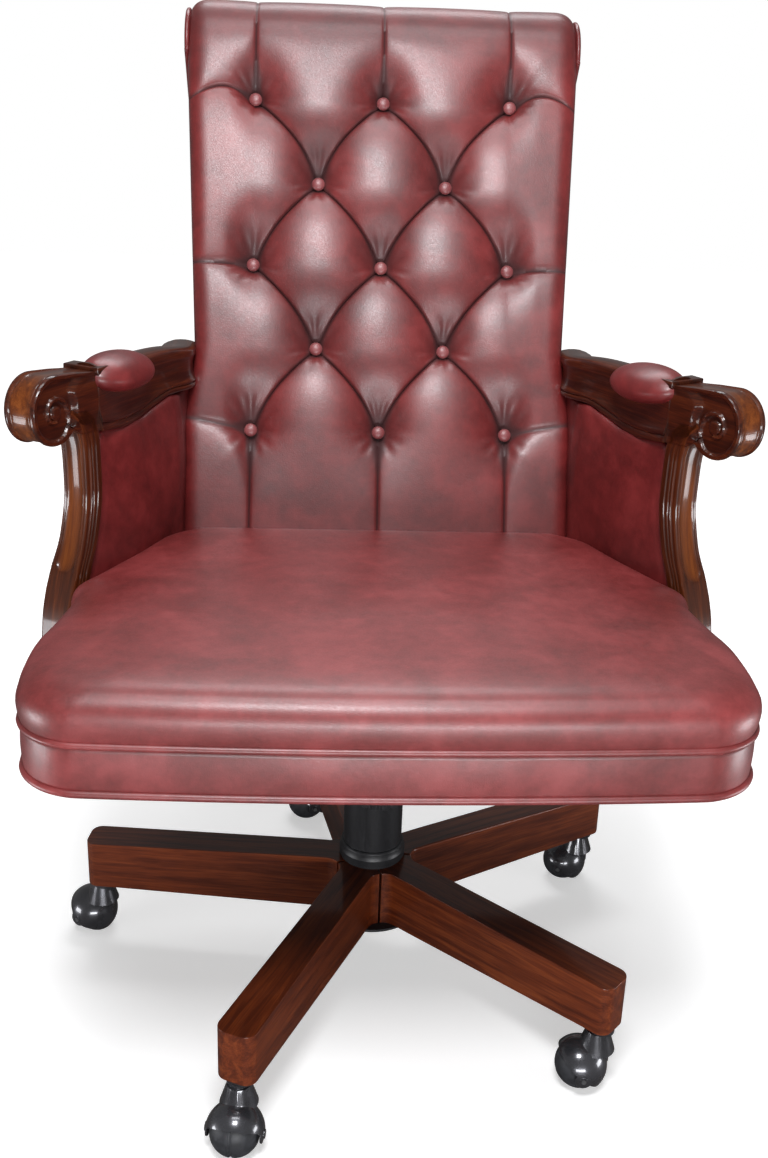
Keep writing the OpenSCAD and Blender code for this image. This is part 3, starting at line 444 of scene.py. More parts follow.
# %% [markdown]
# Finished copies of CAD solids
#
# Some solids have the right shape and only need what a maker does last: the
# sharp arrises taken off. A copy of the CAD mesh is welded, its flat faces are
# joined, and a Bevel modifier rounds each edge sharper than a set angle.

# %% Copy, weld and round
WELD = 2e-5
FLAT_ENOUGH = math.radians(0.6)


def finished_copy(node, material, body, width, angle=28, grain_way=None, centre=None):
    """Stands for a CAD node with a welded copy whose edges sharper than angle are rounded by width
    metres. grain_way is the direction of the wood's grain in plan, measured from centre."""
    name = node + "_finished"
    work = bmesh.new()
    work.from_mesh(nodes[node].data)
    bmesh.ops.remove_doubles(work, verts=work.verts, dist=WELD)
    bmesh.ops.dissolve_limit(work, angle_limit=FLAT_ENOUGH, verts=work.verts, edges=work.edges)
    mesh = bpy.data.meshes.new(name)
    work.to_mesh(mesh)
    work.free()
    mesh.materials.clear()
    mesh.materials.append(material)
    mesh.shade_smooth()
    mesh.set_sharp_from_angle(angle=math.radians(angle))
    if grain_way is not None:
        co = points_of(mesh) - centre
        way = np.array([*grain_way, 0.0])
        cross = np.array([-way[1], way[0], 0.0])
        set_grain(mesh, np.stack([co @ way, co @ cross, co[:, 2]], -1))
    obj = bpy.data.objects.new(name, mesh)
    bpy.context.scene.collection.objects.link(obj)
    bevel = obj.modifiers.new("rounded_edges", "BEVEL")
    bevel.width = width
    bevel.segments = 3
    bevel.limit_method = "ANGLE"
    bevel.angle_limit = math.radians(angle)
    bevel.harden_normals = True
    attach(obj, body)
    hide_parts(node)
    return obj


def give(material, *names):
    """The CAD nodes of these names keep their shape and take a material."""
    for n in names:
        mesh = nodes[n].data
        mesh.materials.clear()
        mesh.materials.append(material)


# %% [markdown]
# Star base
#
# Five tapered legs meet at a steel hub. The real legs are band-sawn, routed
# along their edges with a 3 mm bit and lacquered. The CAD solids have that
# outline, so copies of them get the rounded edges and a grain along each leg.

# %% Legs and hub
STAR_TURN = 28.8
# Each leg's grain starts this much further along X, so that no two legs share their figure
GRAIN_SHIFT = 0.3
for k in range(5):
    turn = math.radians(STAR_TURN + 72 * k)
    finished_copy(f"leg_{k + 1}", leg_wood, "base", 3.2 * MM, angle=40,
                  grain_way=(math.cos(turn), math.sin(turn)), centre=COLUMN + [GRAIN_SHIFT * k, 0, 0])
give(powder_coat, "caster_sockets", "stand_tube", "gas_cylinder", "mechanism_housing", "tilt_plate")
give(zinc, "leg_bolts", "thrust_bearing", "piston_rod", "release_pin", "tilt_pin", "frame_bolts")
give(acetal, "guide_sleeve")
give(plywood, "seat_board", "back_board")
give(dust_cloth, "dust_cover")
finished_copy("hub", powder_coat, "base", 0.8 * MM)
print("legs:", 5)

# %% [markdown]
# Column covers
#
# Two telescoping sleeves of ABS hide the gas lift. They are lathe-turned
# shapes, so a copy with smooth shading and small rounded rims is enough.

# %% Covers, lever and knob
finished_copy("column_cover", cover_abs, "base", 0.6 * MM, angle=25)
finished_copy("upper_cover", cover_abs, "carriage", 0.5 * MM, angle=25)
finished_copy("height_lever", powder_coat, "lever", 0.6 * MM, angle=25)
finished_copy("tension_knob", cover_abs, "knob", 1.0 * MM, angle=25)
print("covers placed")

# %% [markdown]
# Casters
#
# Each caster is a hooded twin-ear fork over one wide wheel. The hood is
# pressed steel under thick black enamel, which is why it shines like glass.
# The solids already have its ball and collars, and a copy only takes the
# sharpness off the rims, where the lamps then draw a thin line.

# %% Hoods, stems, axles and wheels
for k in range(1, 6):
    finished_copy(f"caster_hood_{k}", black_enamel, f"caster_{k}", 0.7 * MM, angle=32)
    give(zinc, f"caster_stem_{k}", f"caster_axle_{k}")
    finished_copy(f"caster_wheel_{k}", wheel_nylon, f"wheel_{k}", 0.5 * MM, angle=30)
print("casters:", 5)


# %% [markdown]
# Seat
#
# The seat is a crowned cushion above a boxed border, with a piped welt where
# they meet and another round the bottom. The outline comes from the CAD solid
# at the same height, so nothing drifts from the frame. Cloth could be blown up
# inside that outline, but leather drawn tight over firm foam has no loose
# folds, and a ring that is carried upwards stays even all round.

# %% Outline of the seat
SEAT_MIDDLE = COLUMN + np.array([0, -0.105, 0])


def outline_of(node, height, count):
    """The ring of a CAD node's points nearest a height, sorted by angle about the seat's middle and
    made smooth and even."""
    co = points_of(nodes[node].data).astype(float)
    levels = np.unique(co[:, 2].round(4))
    ring = co[np.abs(co[:, 2] - levels[np.abs(levels - height).argmin()]) < 2e-4]
    ring = np.unique(ring.round(5), axis=0)
    turn = np.arctan2(ring[:, 1] - SEAT_MIDDLE[1], ring[:, 0] - SEAT_MIDDLE[0])
    ring = ring[np.argsort(turn)]
    apart = np.linalg.norm(ring - np.roll(ring, 1, 0), axis=1)
    return smooth_path(ring[apart > 0.004], count, closed=True)


border_low, border_high = (v[2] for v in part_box("seat_border"))
crown_low, crown_high = (v[2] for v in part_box("seat_cushion"))
SEAT_AROUND = 480
border_ring = outline_of("seat_border", border_high, SEAT_AROUND)
away = unit((border_ring - SEAT_MIDDLE) * [1, 1, 0])
print("seat: border", round(border_low, 4), round(border_high, 4), "crown top", round(crown_high, 4))


# %% Boxed border and its welts
def border_level(f):
    """How far the border stands out at a share f of its height: a barrel 1.6 mm deep, with the
    leather drawn in 2.2 mm under each welt."""
    return (1.6 * np.sin(math.pi * f) - 2.2 * (bump_at(f, 0, 0.09) + bump_at(f, 1, 0.09))) * MM


def build_border():
    """The outline carried up the border, with a faint ripple of stretched leather, and two welts."""
    f = np.linspace(0, 1, 22)
    around = np.arange(SEAT_AROUND)
    ripple = 0.35 * MM * np.sin(around * 0.21 + 2 * np.sin(around * 0.037))
    out = border_level(f)[:, None] + ripple[None] * np.sin(math.pi * f)[:, None]
    side = border_ring[None] + away[None] * out[..., None]
    side[..., 2] = (border_low + (border_high - border_low) * f)[:, None]
    ends = [[*SEAT_MIDDLE[:2], border_low], [*SEAT_MIDDLE[:2], border_high]]
    points = np.concatenate([side.reshape(-1, 3), ends])
    obj = make_piece("seat_border_leather", points, capped_rings(len(f), SEAT_AROUND), seat_leather_painted_light, "seat",
                     crease=50)
    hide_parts("seat_border")
    welts = (("seat_welt_upper", border_high + 0.2 * MM, 3.4 * MM, 0.4 * MM),
             ("seat_welt_lower", border_low + 1.4 * MM, 3.6 * MM, 0.6 * MM))
    for name, z, r, out in welts:
        path = border_ring + away * out
        path[:, 2] = z
        make_piece(name, *tube(path, r, closed=True, sides=14), seat_leather_painted_light, "seat")
    print("border:", len(points), "points, and", len(welts), "welts")


build_border()


# %% [markdown]
# The crown is domed: its sides rise almost straight from the welt, roll over
# in a wide curve and meet in a shallow dome. The CAD solid has that shape in a
# few flat steps. Subdividing it would round its outline away, so rings of
# points are taken at its own levels and joined by a smooth curve.

# %% Crown of the seat
def build_crown():
    """Rings at the solid's own levels, each started beside the first one's start, one more ring
    halfway to the middle, and a smooth curve through them all."""
    levels = np.unique(points_of(nodes["seat_cushion"].data)[:, 2].astype(float).round(4))
    rings = np.stack([outline_of("seat_cushion", z, SEAT_AROUND) for z in levels])
    for k in range(1, len(rings)):
        first = np.linalg.norm(rings[k] - rings[0][:1], axis=1).argmin()
        rings[k] = np.roll(rings[k], -first, 0)
    middle = np.array([*SEAT_MIDDLE[:2], levels[-1] + 1.5 * MM])
    inner = middle + (rings[-1] - middle) * np.array([0.5, 0.5, 0.3])
    stack = np.concatenate([rings, inner[None]])
    t = np.concatenate([[0], np.cumsum(np.linalg.norm(np.diff(stack, axis=0), axis=2).mean(1))])
    at = np.concatenate([np.linspace(0, t[-2], 54), np.linspace(t[-2], t[-1], 12)[1:]])
    curve = smooth_path(np.concatenate([t[:, None], stack.reshape(len(stack), -1)], 1), 400)
    fine = np.stack([np.interp(at, curve[:, 0], curve[:, k]) for k in range(1, curve.shape[1])], -1)
    points = np.concatenate([fine.reshape(-1, 3), [[*SEAT_MIDDLE[:2], crown_low]], [middle]])
    obj = make_piece("seat_crown_leather", points, capped_rings(len(at), SEAT_AROUND), seat_leather_painted_light, "seat",
                     crease=60)
    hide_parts("seat_cushion")
    print("crown:", len(points), "points")


build_crown()

# %% [markdown]
# Tufted back
#
# One hide covers the back and runs on over the roll at the top. It is pulled
# down by thirteen buttons, and pleats run slantwise from button to button,
# straight out to the sides, up over the roll and down to the seat. Cloth that
# is pinned at the buttons could fold like that, but where its folds fall is
# luck. Here the depth is a formula of the place between the buttons, and the
# grid of points is laid out in button spacings, so every pleat falls on a line
# of the mesh and stays crisp.

# %% Frame of the back
BACK_FOOT = COLUMN + np.array([0, 0.093, 0.398])
LEAN = math.radians(21)
UP_BACK = np.array([0, math.sin(LEAN), math.cos(LEAN)])
OUT_BACK = np.array([0, -math.cos(LEAN), math.sin(LEAN)])
BUTTON_PITCH, ROW_PITCH, FIRST_ROW = 0.1466, 0.0947, 0.2063
ROLL_T, ROLL_R = 0.6587, 0.053
PAD_T, BACK_T = 0.045, 0.088
BACK_LOW, CUSHION_TOP = 0.018, 0.6177


def back_point(x, t, out):
    """A point of the back: x across, t up the back from its foot, and out of its face."""
    across, up, off = (np.asarray(value)[..., None] for value in (x, t, out))
    return BACK_FOOT + across * [1, 0, 0] + up * UP_BACK + off * OUT_BACK


def back_width(t):
    """Half the width of the back's frame, which widens by 0.0395 of its height."""
    return 0.1985 + 0.0395 * np.minimum(t, CUSHION_TOP)


def pad_width(t):
    """Half the width of the padding. It stands out past its frame by 21.5 mm at its foot, by 17.2
    mm at 200 mm and by 2 mm from 300 mm up."""
    past = np.interp(t, [0, 0.1, 0.2, 0.235, 0.27, 0.3], [21.5, 19.5, 17.2, 12.0, 5.5, 2.0])
    return back_width(t) + MM * past


# %% [markdown]
# The leather sinks in three ways: a wide slope towards each pleat, a narrow
# groove along it, and a dimple with small puckers at each button. The same
# function gives the painted shade: the colour is darkened along the groove and
# above each button.

# %% Folds, dimples and the painted shade in them
FOLD_DEPTH, GROOVE_DEPTH = 9.0 * MM, 4.2 * MM


def tuft_depth(across, up):
    """Depth of the leather under its crest, and its painted shade there. across and up count half
    button pitches and rows. Slanting folds lie where across + up or up - across is even: depth is D
    (1 - |sin sin|^p), once for the wide fold and once for the narrow groove in it, with a round
    dimple and puckers at each button. Past the outer buttons p falls, which narrows the fold."""
    a, v = np.abs(across), up
    inner_a, inner_v = np.minimum(a, 2), np.clip(v, 0, 4)
    rise = np.abs(np.sin(math.pi / 2 * (inner_a + inner_v)) * np.sin(math.pi / 2 * (inner_v - inner_a)))
    beside, above, under = np.maximum(a - 2, 0), np.maximum(v - 4, 0), np.maximum(-v, 0)
    corner = np.minimum(beside, above + under)
    rise = np.where(corner > 0, np.sin(math.pi / 2 * np.minimum(corner, 1)) ** 2, rise) + 1e-9
    past = beside * 1.7 + above * 0.9 + under * 0.9
    narrow, thin = smoothstep(past, 0.0, 0.8), smoothstep(past, 0.0, 0.6)
    wide = FOLD_DEPTH * np.exp(-beside * 1.6 - above * 1.6 - under * 1.2)
    deep = GROOVE_DEPTH * np.exp(-beside * 0.25 - above * 0.5 - under * 0.3)
    fold = wide * (1 - rise ** (0.66 - 0.46 * narrow)) + deep * (1 - rise ** (0.13 - 0.05 * narrow))
    dimple, shade = np.zeros_like(rise), np.zeros_like(rise)
    for row in range(5):
        for col in (0, 2) if row % 2 == 0 else (1,):
            dx, dt = (a - col) * BUTTON_PITCH / 2, (v - row) * ROW_PITCH
            near = np.hypot(dx, dt)
            # The wide dimple's middle is 9 mm above its button, and it is longer upwards
            high = np.hypot(dx, (dt - 9 * MM) * np.where(dt > 9 * MM, 0.75, 1.0))
            dimple += 7.5 * MM * np.exp(-((near / (12 * MM)) ** 2))
            dimple += 8.0 * MM * np.exp(-((high / (24 * MM)) ** 2))
            pucker = 0.55 * MM * np.sin(11 * np.arctan2(dt, dx) + 1.7 * col + 2.3 * row)
            dimple += pucker * np.exp(-(((near - 20 * MM) / (9 * MM)) ** 2))
            # Painted shade: a dark patch above each button, where light from above leaves the upper slope in
            # shade
            shade = np.maximum(shade, 0.6 * np.exp(-((high / (19 * MM)) ** 2)))
    # Painted shade: the colour darkens along each pleat's groove
    line = rise ** (1 - 0.5 * thin)
    return fold + dimple, np.maximum(shade, 0.85 * np.exp(-((line / (0.05 - 0.014 * thin)) ** 2)))


# %% [markdown]
# The sheet is first laid out flat, then bent. Its rows follow the buttons and
# run on round the roll. Its columns are even over the buttons, then spread to
# the edge of the padding, turn round it and run back along its side.

# %% Rows and columns of the sheet
# Points to each half button pitch across, and to each row up
CELLS = 36
ROLL_END = math.radians(225)
ROLL_EASE = 0.025


def sheet_rows():
    """Length up the back, and place in rows of buttons, of each row of points. In a band between
    two rows of buttons the place is solved from g + b sin(pi g), so that the pleats arch out of the
    upper button. The last rows run round the roll."""
    low_v, top_v = (np.array([BACK_LOW, ROLL_T]) - FIRST_ROW) / ROW_PITCH
    v = np.concatenate([[low_v], np.arange(math.ceil(low_v * CELLS), int(top_v * CELLS) + 1) / CELLS])
    g = np.linspace(0, 1, 60)
    part = 1 - (v - np.floor(v))
    lower, upper = (np.interp(part, g + b * np.sin(math.pi * g), g) for b in (0.13, 0.17))
    bent = np.floor(v) + 1 - np.where(v > 3, upper, lower)
    arc = np.linspace(0, ROLL_END, 92)[1:]
    face_t = FIRST_ROW + ROW_PITCH * np.where((v > 0) & (v < 4), bent, v)
    t = np.concatenate([face_t, ROLL_T + ROLL_R * arc])
    return t, np.concatenate([v, top_v + ROLL_R * arc / ROW_PITCH])


def sheet_columns(t):
    """Place across and out of each point: even over the buttons, then stretched to the padding's
    edge, round it in a quarter turn and back along the side to the frame."""
    half = int(2.44 * CELLS)
    lattice = np.arange(-half, half + 1) / CELLS * BUTTON_PITCH / 2
    width, high = pad_width(t)[:, None], smoothstep(t, 0.56, 0.63)[:, None]
    edge_r, edge_n = (22 + 6 * high) * MM, (20 + 1 * high) * MM
    a = np.linspace(0, math.pi / 2, 11)[1:]
    flat_x = lattice[-1] + (width - edge_r - lattice[-1]) * np.linspace(0, 1, 9)[1:]
    side_n = -edge_n - (PAD_T - edge_n) * np.linspace(0, 1, 5)[1:]
    right_x = np.concatenate([flat_x, width - edge_r + edge_r * np.sin(a), width + 0 * side_n], 1)
    right_n = np.concatenate([0 * flat_x, -edge_n * (1 - np.cos(a)) ** 1.3, side_n], 1)
    face_x = lattice + 0 * width
    x = np.concatenate([-right_x[:, ::-1], face_x, right_x], 1)
    return x, np.concatenate([right_n[:, ::-1], 0 * face_x, right_n], 1)


def bend_into_roll(t):
    """Place up and out of the face, and turn, at a length t up the sheet. The face bends into the
    roll over 50 mm: its turn is the integral of a curvature that rises evenly, and its place the
    integral of the turn's cosine and sine."""
    start = ROLL_T - ROLL_EASE
    fine = np.linspace(start, t[-1], 1200)
    bending = fine < ROLL_T + ROLL_EASE
    angle = np.where(bending, (fine - start) ** 2 / (4 * ROLL_EASE), fine - ROLL_T) / ROLL_R
    step = np.diff(fine, prepend=start)
    up = np.interp(t, fine, start + np.cumsum(step * np.cos(angle)))
    out = -np.interp(t, fine, np.cumsum(step * np.sin(angle)))
    return np.where(t < start, t, up), out, np.interp(t, fine, angle)


# %% [markdown]
# A quad that is folded across its corners looks ragged, so in the field of
# buttons each one is split into two triangles along its pleat. The rear of the
# pad is closed by a fan, which the shell hides.

# %% Faces of the sheet, and the whole back
def pleat_faces(across, v):
    """Quads of the sheet. In the field of buttons each is split in two along the slant of its own
    pleat, which keeps the pleat crisp."""
    rows, cols = across.shape
    quad = grid_faces(rows, cols).reshape(rows - 1, cols - 1, 4)
    mid_a = np.abs((across[:-1, :-1] + across[1:, 1:]) / 2)
    mid_v = ((v[:-1] + v[1:]) / 2)[:, None] + 0 * mid_a
    field = (mid_v > 0) & (mid_v < 4) & (mid_a < 2)
    falls = np.abs(np.sin(math.pi / 2 * (mid_a + mid_v))) < np.abs(np.sin(math.pi / 2 * (mid_v - mid_a)))
    falls = falls ^ (across[:-1, :-1] < 0)
    one, two = quad[field & falls], quad[field & ~falls]
    tris = np.concatenate([one[:, [0, 1, 3]], one[:, [1, 2, 3]], two[:, [0, 1, 2]], two[:, [0, 2, 3]]])
    return [quad[~field], tris]


def build_back():
    """The sheet: its depth is taken off out of the face, less so round its edge, and the face bends
    into the roll."""
    t, v = sheet_rows()
    x, n = sheet_columns(t)
    across, rows_up = x / (BUTTON_PITCH / 2), v[:, None]
    depth, shade = tuft_depth(across, rows_up)
    # Painted shade: the top of the roll is darkened
    shade = np.maximum(shade, 0.28 * smoothstep(t, 0.6, 0.69)[:, None])
    n = n - depth * np.clip(1 + n / (13 * MM), 0.06, 1)
    # Beside the top row the side pleats arch, and beside the lowest row they rise to the edge
    beside = np.clip(np.abs(across) - 2, 0, 1)
    arch = ROW_PITCH * (0.13 * np.sin(math.pi * beside / 0.95) * np.exp(-((rows_up - 4) / 0.5) ** 2)
                        + 0.13 * beside * np.exp(-(rows_up / 0.6) ** 2))
    face_t, face_n, turn = (value[:, None] for value in bend_into_roll(t))
    points = back_point(x, face_t + n * np.sin(turn) + arch, face_n + n * np.cos(turn)).reshape(-1, 3)
    # The rear of the pad closes the sheet
    number = np.arange(len(points)).reshape(x.shape)
    rim = np.concatenate([number[0], number[1:, -1], number[-1, -2::-1], number[-2:0:-1, 0]])
    faces = [*pleat_faces(across, v), fan(rim[::-1], len(points))]
    centre = back_point(0.0, 0.33, -PAD_T)
    obj = make_piece("back_cushion_leather", np.concatenate([points, [centre]]), faces, leather, "seat",
                     crease=80, rubbed=np.append(shade, 0.0))
    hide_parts("back_cushion")
    print("back sheet:", *x.shape)


build_back()


# %% [markdown]
# The buttons are domed blanks covered in the same hide. A squashed sphere would
# have no rim, so each is a profile turned about its own axis, and it sits in
# its dimple.

# %% Covered buttons
def lathe(profile, centre, axis):
    """Points and faces of a profile (radius, height) turned about an axis through a centre. Its end
    rings are a thousandth of a millimetre across."""
    sides = 32
    across = unit(np.cross(axis, np.cross((1, 0, 0), axis)))
    a = np.linspace(0, 2 * math.pi, sides, endpoint=False)
    ring = across * np.cos(a)[:, None] + np.cross(axis, across) * np.sin(a)[:, None]
    points = centre + profile[:, None, :1] * ring[None] + profile[:, None, 1:] * axis
    return points.reshape(-1, 3), [grid_faces(len(profile), sides, close_cols=True)]


def build_buttons():
    """Thirteen domed buttons, 15 mm across and 6 mm high, whose feet are 15.1 mm under the crest of
    the leather."""
    a = np.linspace(0, math.pi / 2, 12)[:-1]
    dome = np.stack([7.5 * np.cos(a) ** 0.9, 1.6 + 4.4 * np.sin(a)], -1)
    profile = np.concatenate([[[0.001, 0.0], [6.6, 0.0], [7.2, 0.6]], dome, [[0.001, 6.0]]]) * MM
    parts = []
    for row in range(5):
        for k in (-2, 0, 2) if row % 2 == 0 else (-1, 1):
            foot = back_point(k * BUTTON_PITCH / 2, FIRST_ROW + row * ROW_PITCH, -15.1 * MM)
            parts.append(lathe(profile, foot, OUT_BACK))
    obj = make_piece("covered_buttons", *joined(parts), button_leather, "seat")
    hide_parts("back_buttons")
    print("buttons:", len(parts))


build_buttons()


# %% [markdown]
# The roll ends in flat facings, cut to its round and edged with a welt. Behind,
# the back is closed by a plain panel of the same hide, piped along its sides.
# Both are placed in the frame of the back, so they lean with it.

# %% Roll facings and the outside of the back
FACING_IN, FACING_OUT = 0.2231, 0.2292


def plate(outline, start, end, puff, place):
    """A flat panel with a rounded rim: its outline is drawn in by 2 mm at each face, and the end
    face swells by puff towards its middle. start and end are its faces' places along the third
    axis."""
    middle, count = outline.mean(0), len(outline)
    inward = unit(middle - outline)
    insets = [(start, 2.0), (start + 0.8 * MM, 0.5), ((start + end) / 2, 0.0), (end - 0.8 * MM, 0.5),
              (end, 2.0)]
    base = [place(middle + (outline - middle) * f, np.full(count, start)) for f in (0.2, 0.6)]
    rim = [place(outline + inward * d * MM, np.full(count, w)) for w, d in insets]
    top = [place(middle + (outline - middle) * f, np.full(count, end + puff * (1 - f)))
           for f in (0.8, 0.5, 0.2)]
    grid = np.stack(base + rim + top)
    ends = [place(middle[None], np.array([w])) for w in (start, end + puff)]
    return np.concatenate([grid.reshape(-1, 3), *ends]), capped_rings(len(grid), count)


def facing_outline():
    """The roll's round, 13 mm inside the hide, from 30 degrees in front of its crest line to
    behind, then down to a narrow foot, in (t, out) metres."""
    a = np.radians(np.linspace(-30, 195, 46))
    r = ROLL_R - 13 * MM
    round_part = np.stack([ROLL_T + r * np.sin(a), -ROLL_R + r * np.cos(a)], -1)
    return np.concatenate([round_part, [[0.612, -0.093], [0.603, -0.088], [0.603, -0.074]]])


def build_facings():
    """A facing and its welt at each side. The right one's faces are turned, as its plate is a
    mirror image."""
    parts = []
    outline = smooth_path(facing_outline(), 120, closed=True)
    for side in (-1, 1):
        points, faces = plate(outline, FACING_IN, FACING_OUT, 1.0 * MM,
                              lambda p, w: back_point(side * w, p[..., 0], p[..., 1]))
        parts.append((points, [f[:, ::-1] for f in faces] if side > 0 else faces))
        middle = side * (FACING_IN + FACING_OUT + 0.1 * MM) / 2
        path = back_point(np.full(120, middle), outline[:, 0], outline[:, 1])
        parts.append(tube(path, 2.6 * MM, closed=True, up=(1, 0, 0), sides=10))
    obj = make_piece("roll_facings_leather", *joined(parts), leather, "seat", crease=60)
    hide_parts("roll_facings")
    print("facings:", len(obj.data.vertices), "points")


build_facings()


def build_shell():
    """The rear panel: a grid across and up, swelling 1 mm towards its middle, that turns forward
    round its side edges to meet the pad, with two welts along each side."""
    low, high = 0.036, 0.6115
    t = np.linspace(low, high, 70)
    s = np.linspace(-1, 1, 61)[1:-1]
    w = back_width(t)[:, None]
    a = np.linspace(0, math.pi / 2, 7)
    r = 7 * MM
    deep = np.linspace(-BACK_T + r, -PAD_T - 0.2 * MM, 8)[1:]
    swell = 1.0 * MM * (1 - s**2) * np.sin(math.pi * (t - low) / (high - low))[:, None] ** 0.5
    right_x = np.concatenate([w - r + r * np.sin(a), w + 0 * deep], 1)
    right_n = np.concatenate([-BACK_T + r - r * np.cos(a), deep]) + 0 * w
    x = np.concatenate([-right_x[:, ::-1], (w - r) * s, right_x], 1)
    n = np.concatenate([right_n[:, ::-1], -BACK_T + 1.0 * MM - swell, right_n], 1)
    outer = back_point(x, t[:, None] + 0 * x, n)
    obj = make_piece("back_shell_leather", outer, [grid_faces(*x.shape)], leather, "seat", crease=60)
    thick = obj.modifiers.new("hide", "SOLIDIFY")
    thick.thickness = 3 * MM
    thick.offset = -1.0
    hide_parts("back_shell")
    parts = []
    t = np.linspace(low, 0.612, 60)
    for side in (-1, 1):
        for past, out, radius in ((0.6, -PAD_T, 2.6 * MM), (-2.0, -BACK_T + 1.5 * MM, 2.4 * MM)):
            path = back_point(side * (back_width(t) + past * MM), t, np.full(60, out))
            parts.append(tube(path, radius, up=OUT_BACK))
    make_piece("back_side_welts", *joined(parts), leather, "seat")
    print("shell:", *x.shape, "and", len(parts), "welts")


build_shell()

# %% [markdown]
# Arms
#
# Each arm is a sawn and carved frame: a front post that curls over into a
# volute, and a rail that runs back to the side of the chair. A curve with a
# bevel profile could make the rail, but not the carving, so all of it is grids
# of points. They are worked out for the right of the picture and mirrored for
# the left.

# %% Frame of an arm
ARM_TURN = math.radians(28.6)
ARM_T, POST_D = 0.0364, 0.026
EYE = COLUMN + np.array([0.3193, -0.0481, 0.658])
ARM_ALONG = np.array([math.sin(ARM_TURN), -math.cos(ARM_TURN), 0])
ARM_FACE = np.array([-math.cos(ARM_TURN), -math.sin(ARM_TURN), 0])
UPWARD = np.array([0, 0, 1.0])


def arm_point(u, z, out):
    """A point of the arm's plane: u forward along it from the eye, z above the eye, and out of the
    inner face."""
    ahead, up, off = (np.asarray(value)[..., None] for value in (u, z, out))
    return EYE + ahead * ARM_ALONG + up * UPWARD + off * ARM_FACE


def both_arms(name, node, points, faces, material, fill=None, **finish):
    """The right arm's piece and its mirror image on the left, whose faces are turned to point
    outwards. fill is not used, and finish goes on to make_piece."""
    for word, sign in (("right", 1), ("left", -1)):
        obj = make_piece(f"{name}_{word}", points * [sign, 1, 1], faces, material, "seat", flip=sign < 0,
                         **finish)
        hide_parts(f"{node}_{word}")


# %% [markdown]
# The volute is a drum about the scroll's eye. Round its edge run two beads
# with a hollow between them. On each face a raised spiral winds from the rim
# to a small round eye. A bump map would look flat from the side, so the relief
# is a height over rings about the eye.

# %% Scroll of an arm
def scroll_radius(angle):
    """Radius of the scroll in mm at an angle in degrees from straight ahead: 33.8 in front, 37
    above and 32.4 below."""
    up = np.sin(np.radians(angle))
    return np.where(up >= 0, 33.8 + 3.2 * up, 33.8 + 1.4 * up)


# The oblong block behind the scroll, from the top round the rear to below, in mm from the eye
BLOCK_CORNERS = np.array([[-6.0, 36.6], [-30, 34.2], [-63.9, 29.5], [-63.9, -30.8], [-36, -29], [-24, -22]])


def block_radius(angle):
    """Distance in mm from the eye to the block's edge at each angle: the side from p along d is met
    at cross(p, d) / cross(way, d)."""
    way = np.stack([np.cos(np.radians(angle)), np.sin(np.radians(angle))], -1)
    reach = np.zeros(len(angle))
    for p, q in zip(BLOCK_CORNERS[:-1], BLOCK_CORNERS[1:]):
        d = q - p
        across = way[:, 0] * d[1] - way[:, 1] * d[0]
        r = (p[0] * d[1] - p[1] * d[0]) / np.where(np.abs(across) < 1e-9, 1e-9, across)
        share = ((way * r[:, None] - p) @ d) / (d @ d)
        met = (share >= -1e-6) & (share <= 1 + 1e-6) & (r > 0)
        reach = np.where(met, np.maximum(reach, r), reach)
    return reach


def band_height(f):
    """Relief in mm of the scroll's edge at a share f of its thickness: a bead at each side, a
    groove inside each bead and a shallow hollow between them."""
    hollow = -2.3 * np.clip(1 - (np.abs(f - 0.5) / 0.36) ** 4, 0, 1)
    groove = -1.5 * (bump_at(f, 0.155, 0.035) + bump_at(f, 0.845, 0.035))
    bead = -1.2 * ((np.clip(np.abs(f - 0.5) - 0.42, 0, 1) / 0.08) ** 2)
    return hollow + groove + bead


def spiral_radius(turn):
    """Radius in mm of the spiral ridge after turning turn degrees inwards from straight down."""
    return np.interp(turn, [0, 45, 90, 135, 180, 270, 360], [30.5, 25, 17.5, 15.0, 14.0, 11.5, 9.0])


def block_share(angle, low, high):
    """How far the scroll is the block behind it, from 0 to 1, at an angle in degrees: a smoothstep
    of the cosine of the turn from the block's middle."""
    return smoothstep(np.cos(np.radians(angle - 182)), low, high)


def face_relief(r, angle, rim):
    """Relief in mm of the scroll's face: floor 3.2 mm deep, rim bead, spiral ridge and a domed eye.
    In the block behind, the face comes up level again."""
    block = block_share(angle, 0.62, 0.9) * smoothstep(r, 22, 34)
    floor = -3.2 * smoothstep(rim - r, 3.0, 6.0) * (1 - block)
    turn = (-90 - angle) % 360
    end = (turn == 0) * bump_at(r, spiral_radius(360), 2.6)
    ridge = 3.4 * np.maximum(bump_at(r, spiral_radius(turn), 2.6), end)
    eye = 4.2 * np.sqrt(np.clip(1 - (r / 8.0) ** 2, 0, 1))
    return np.minimum(np.maximum(floor + ridge, floor + eye), 0.0)


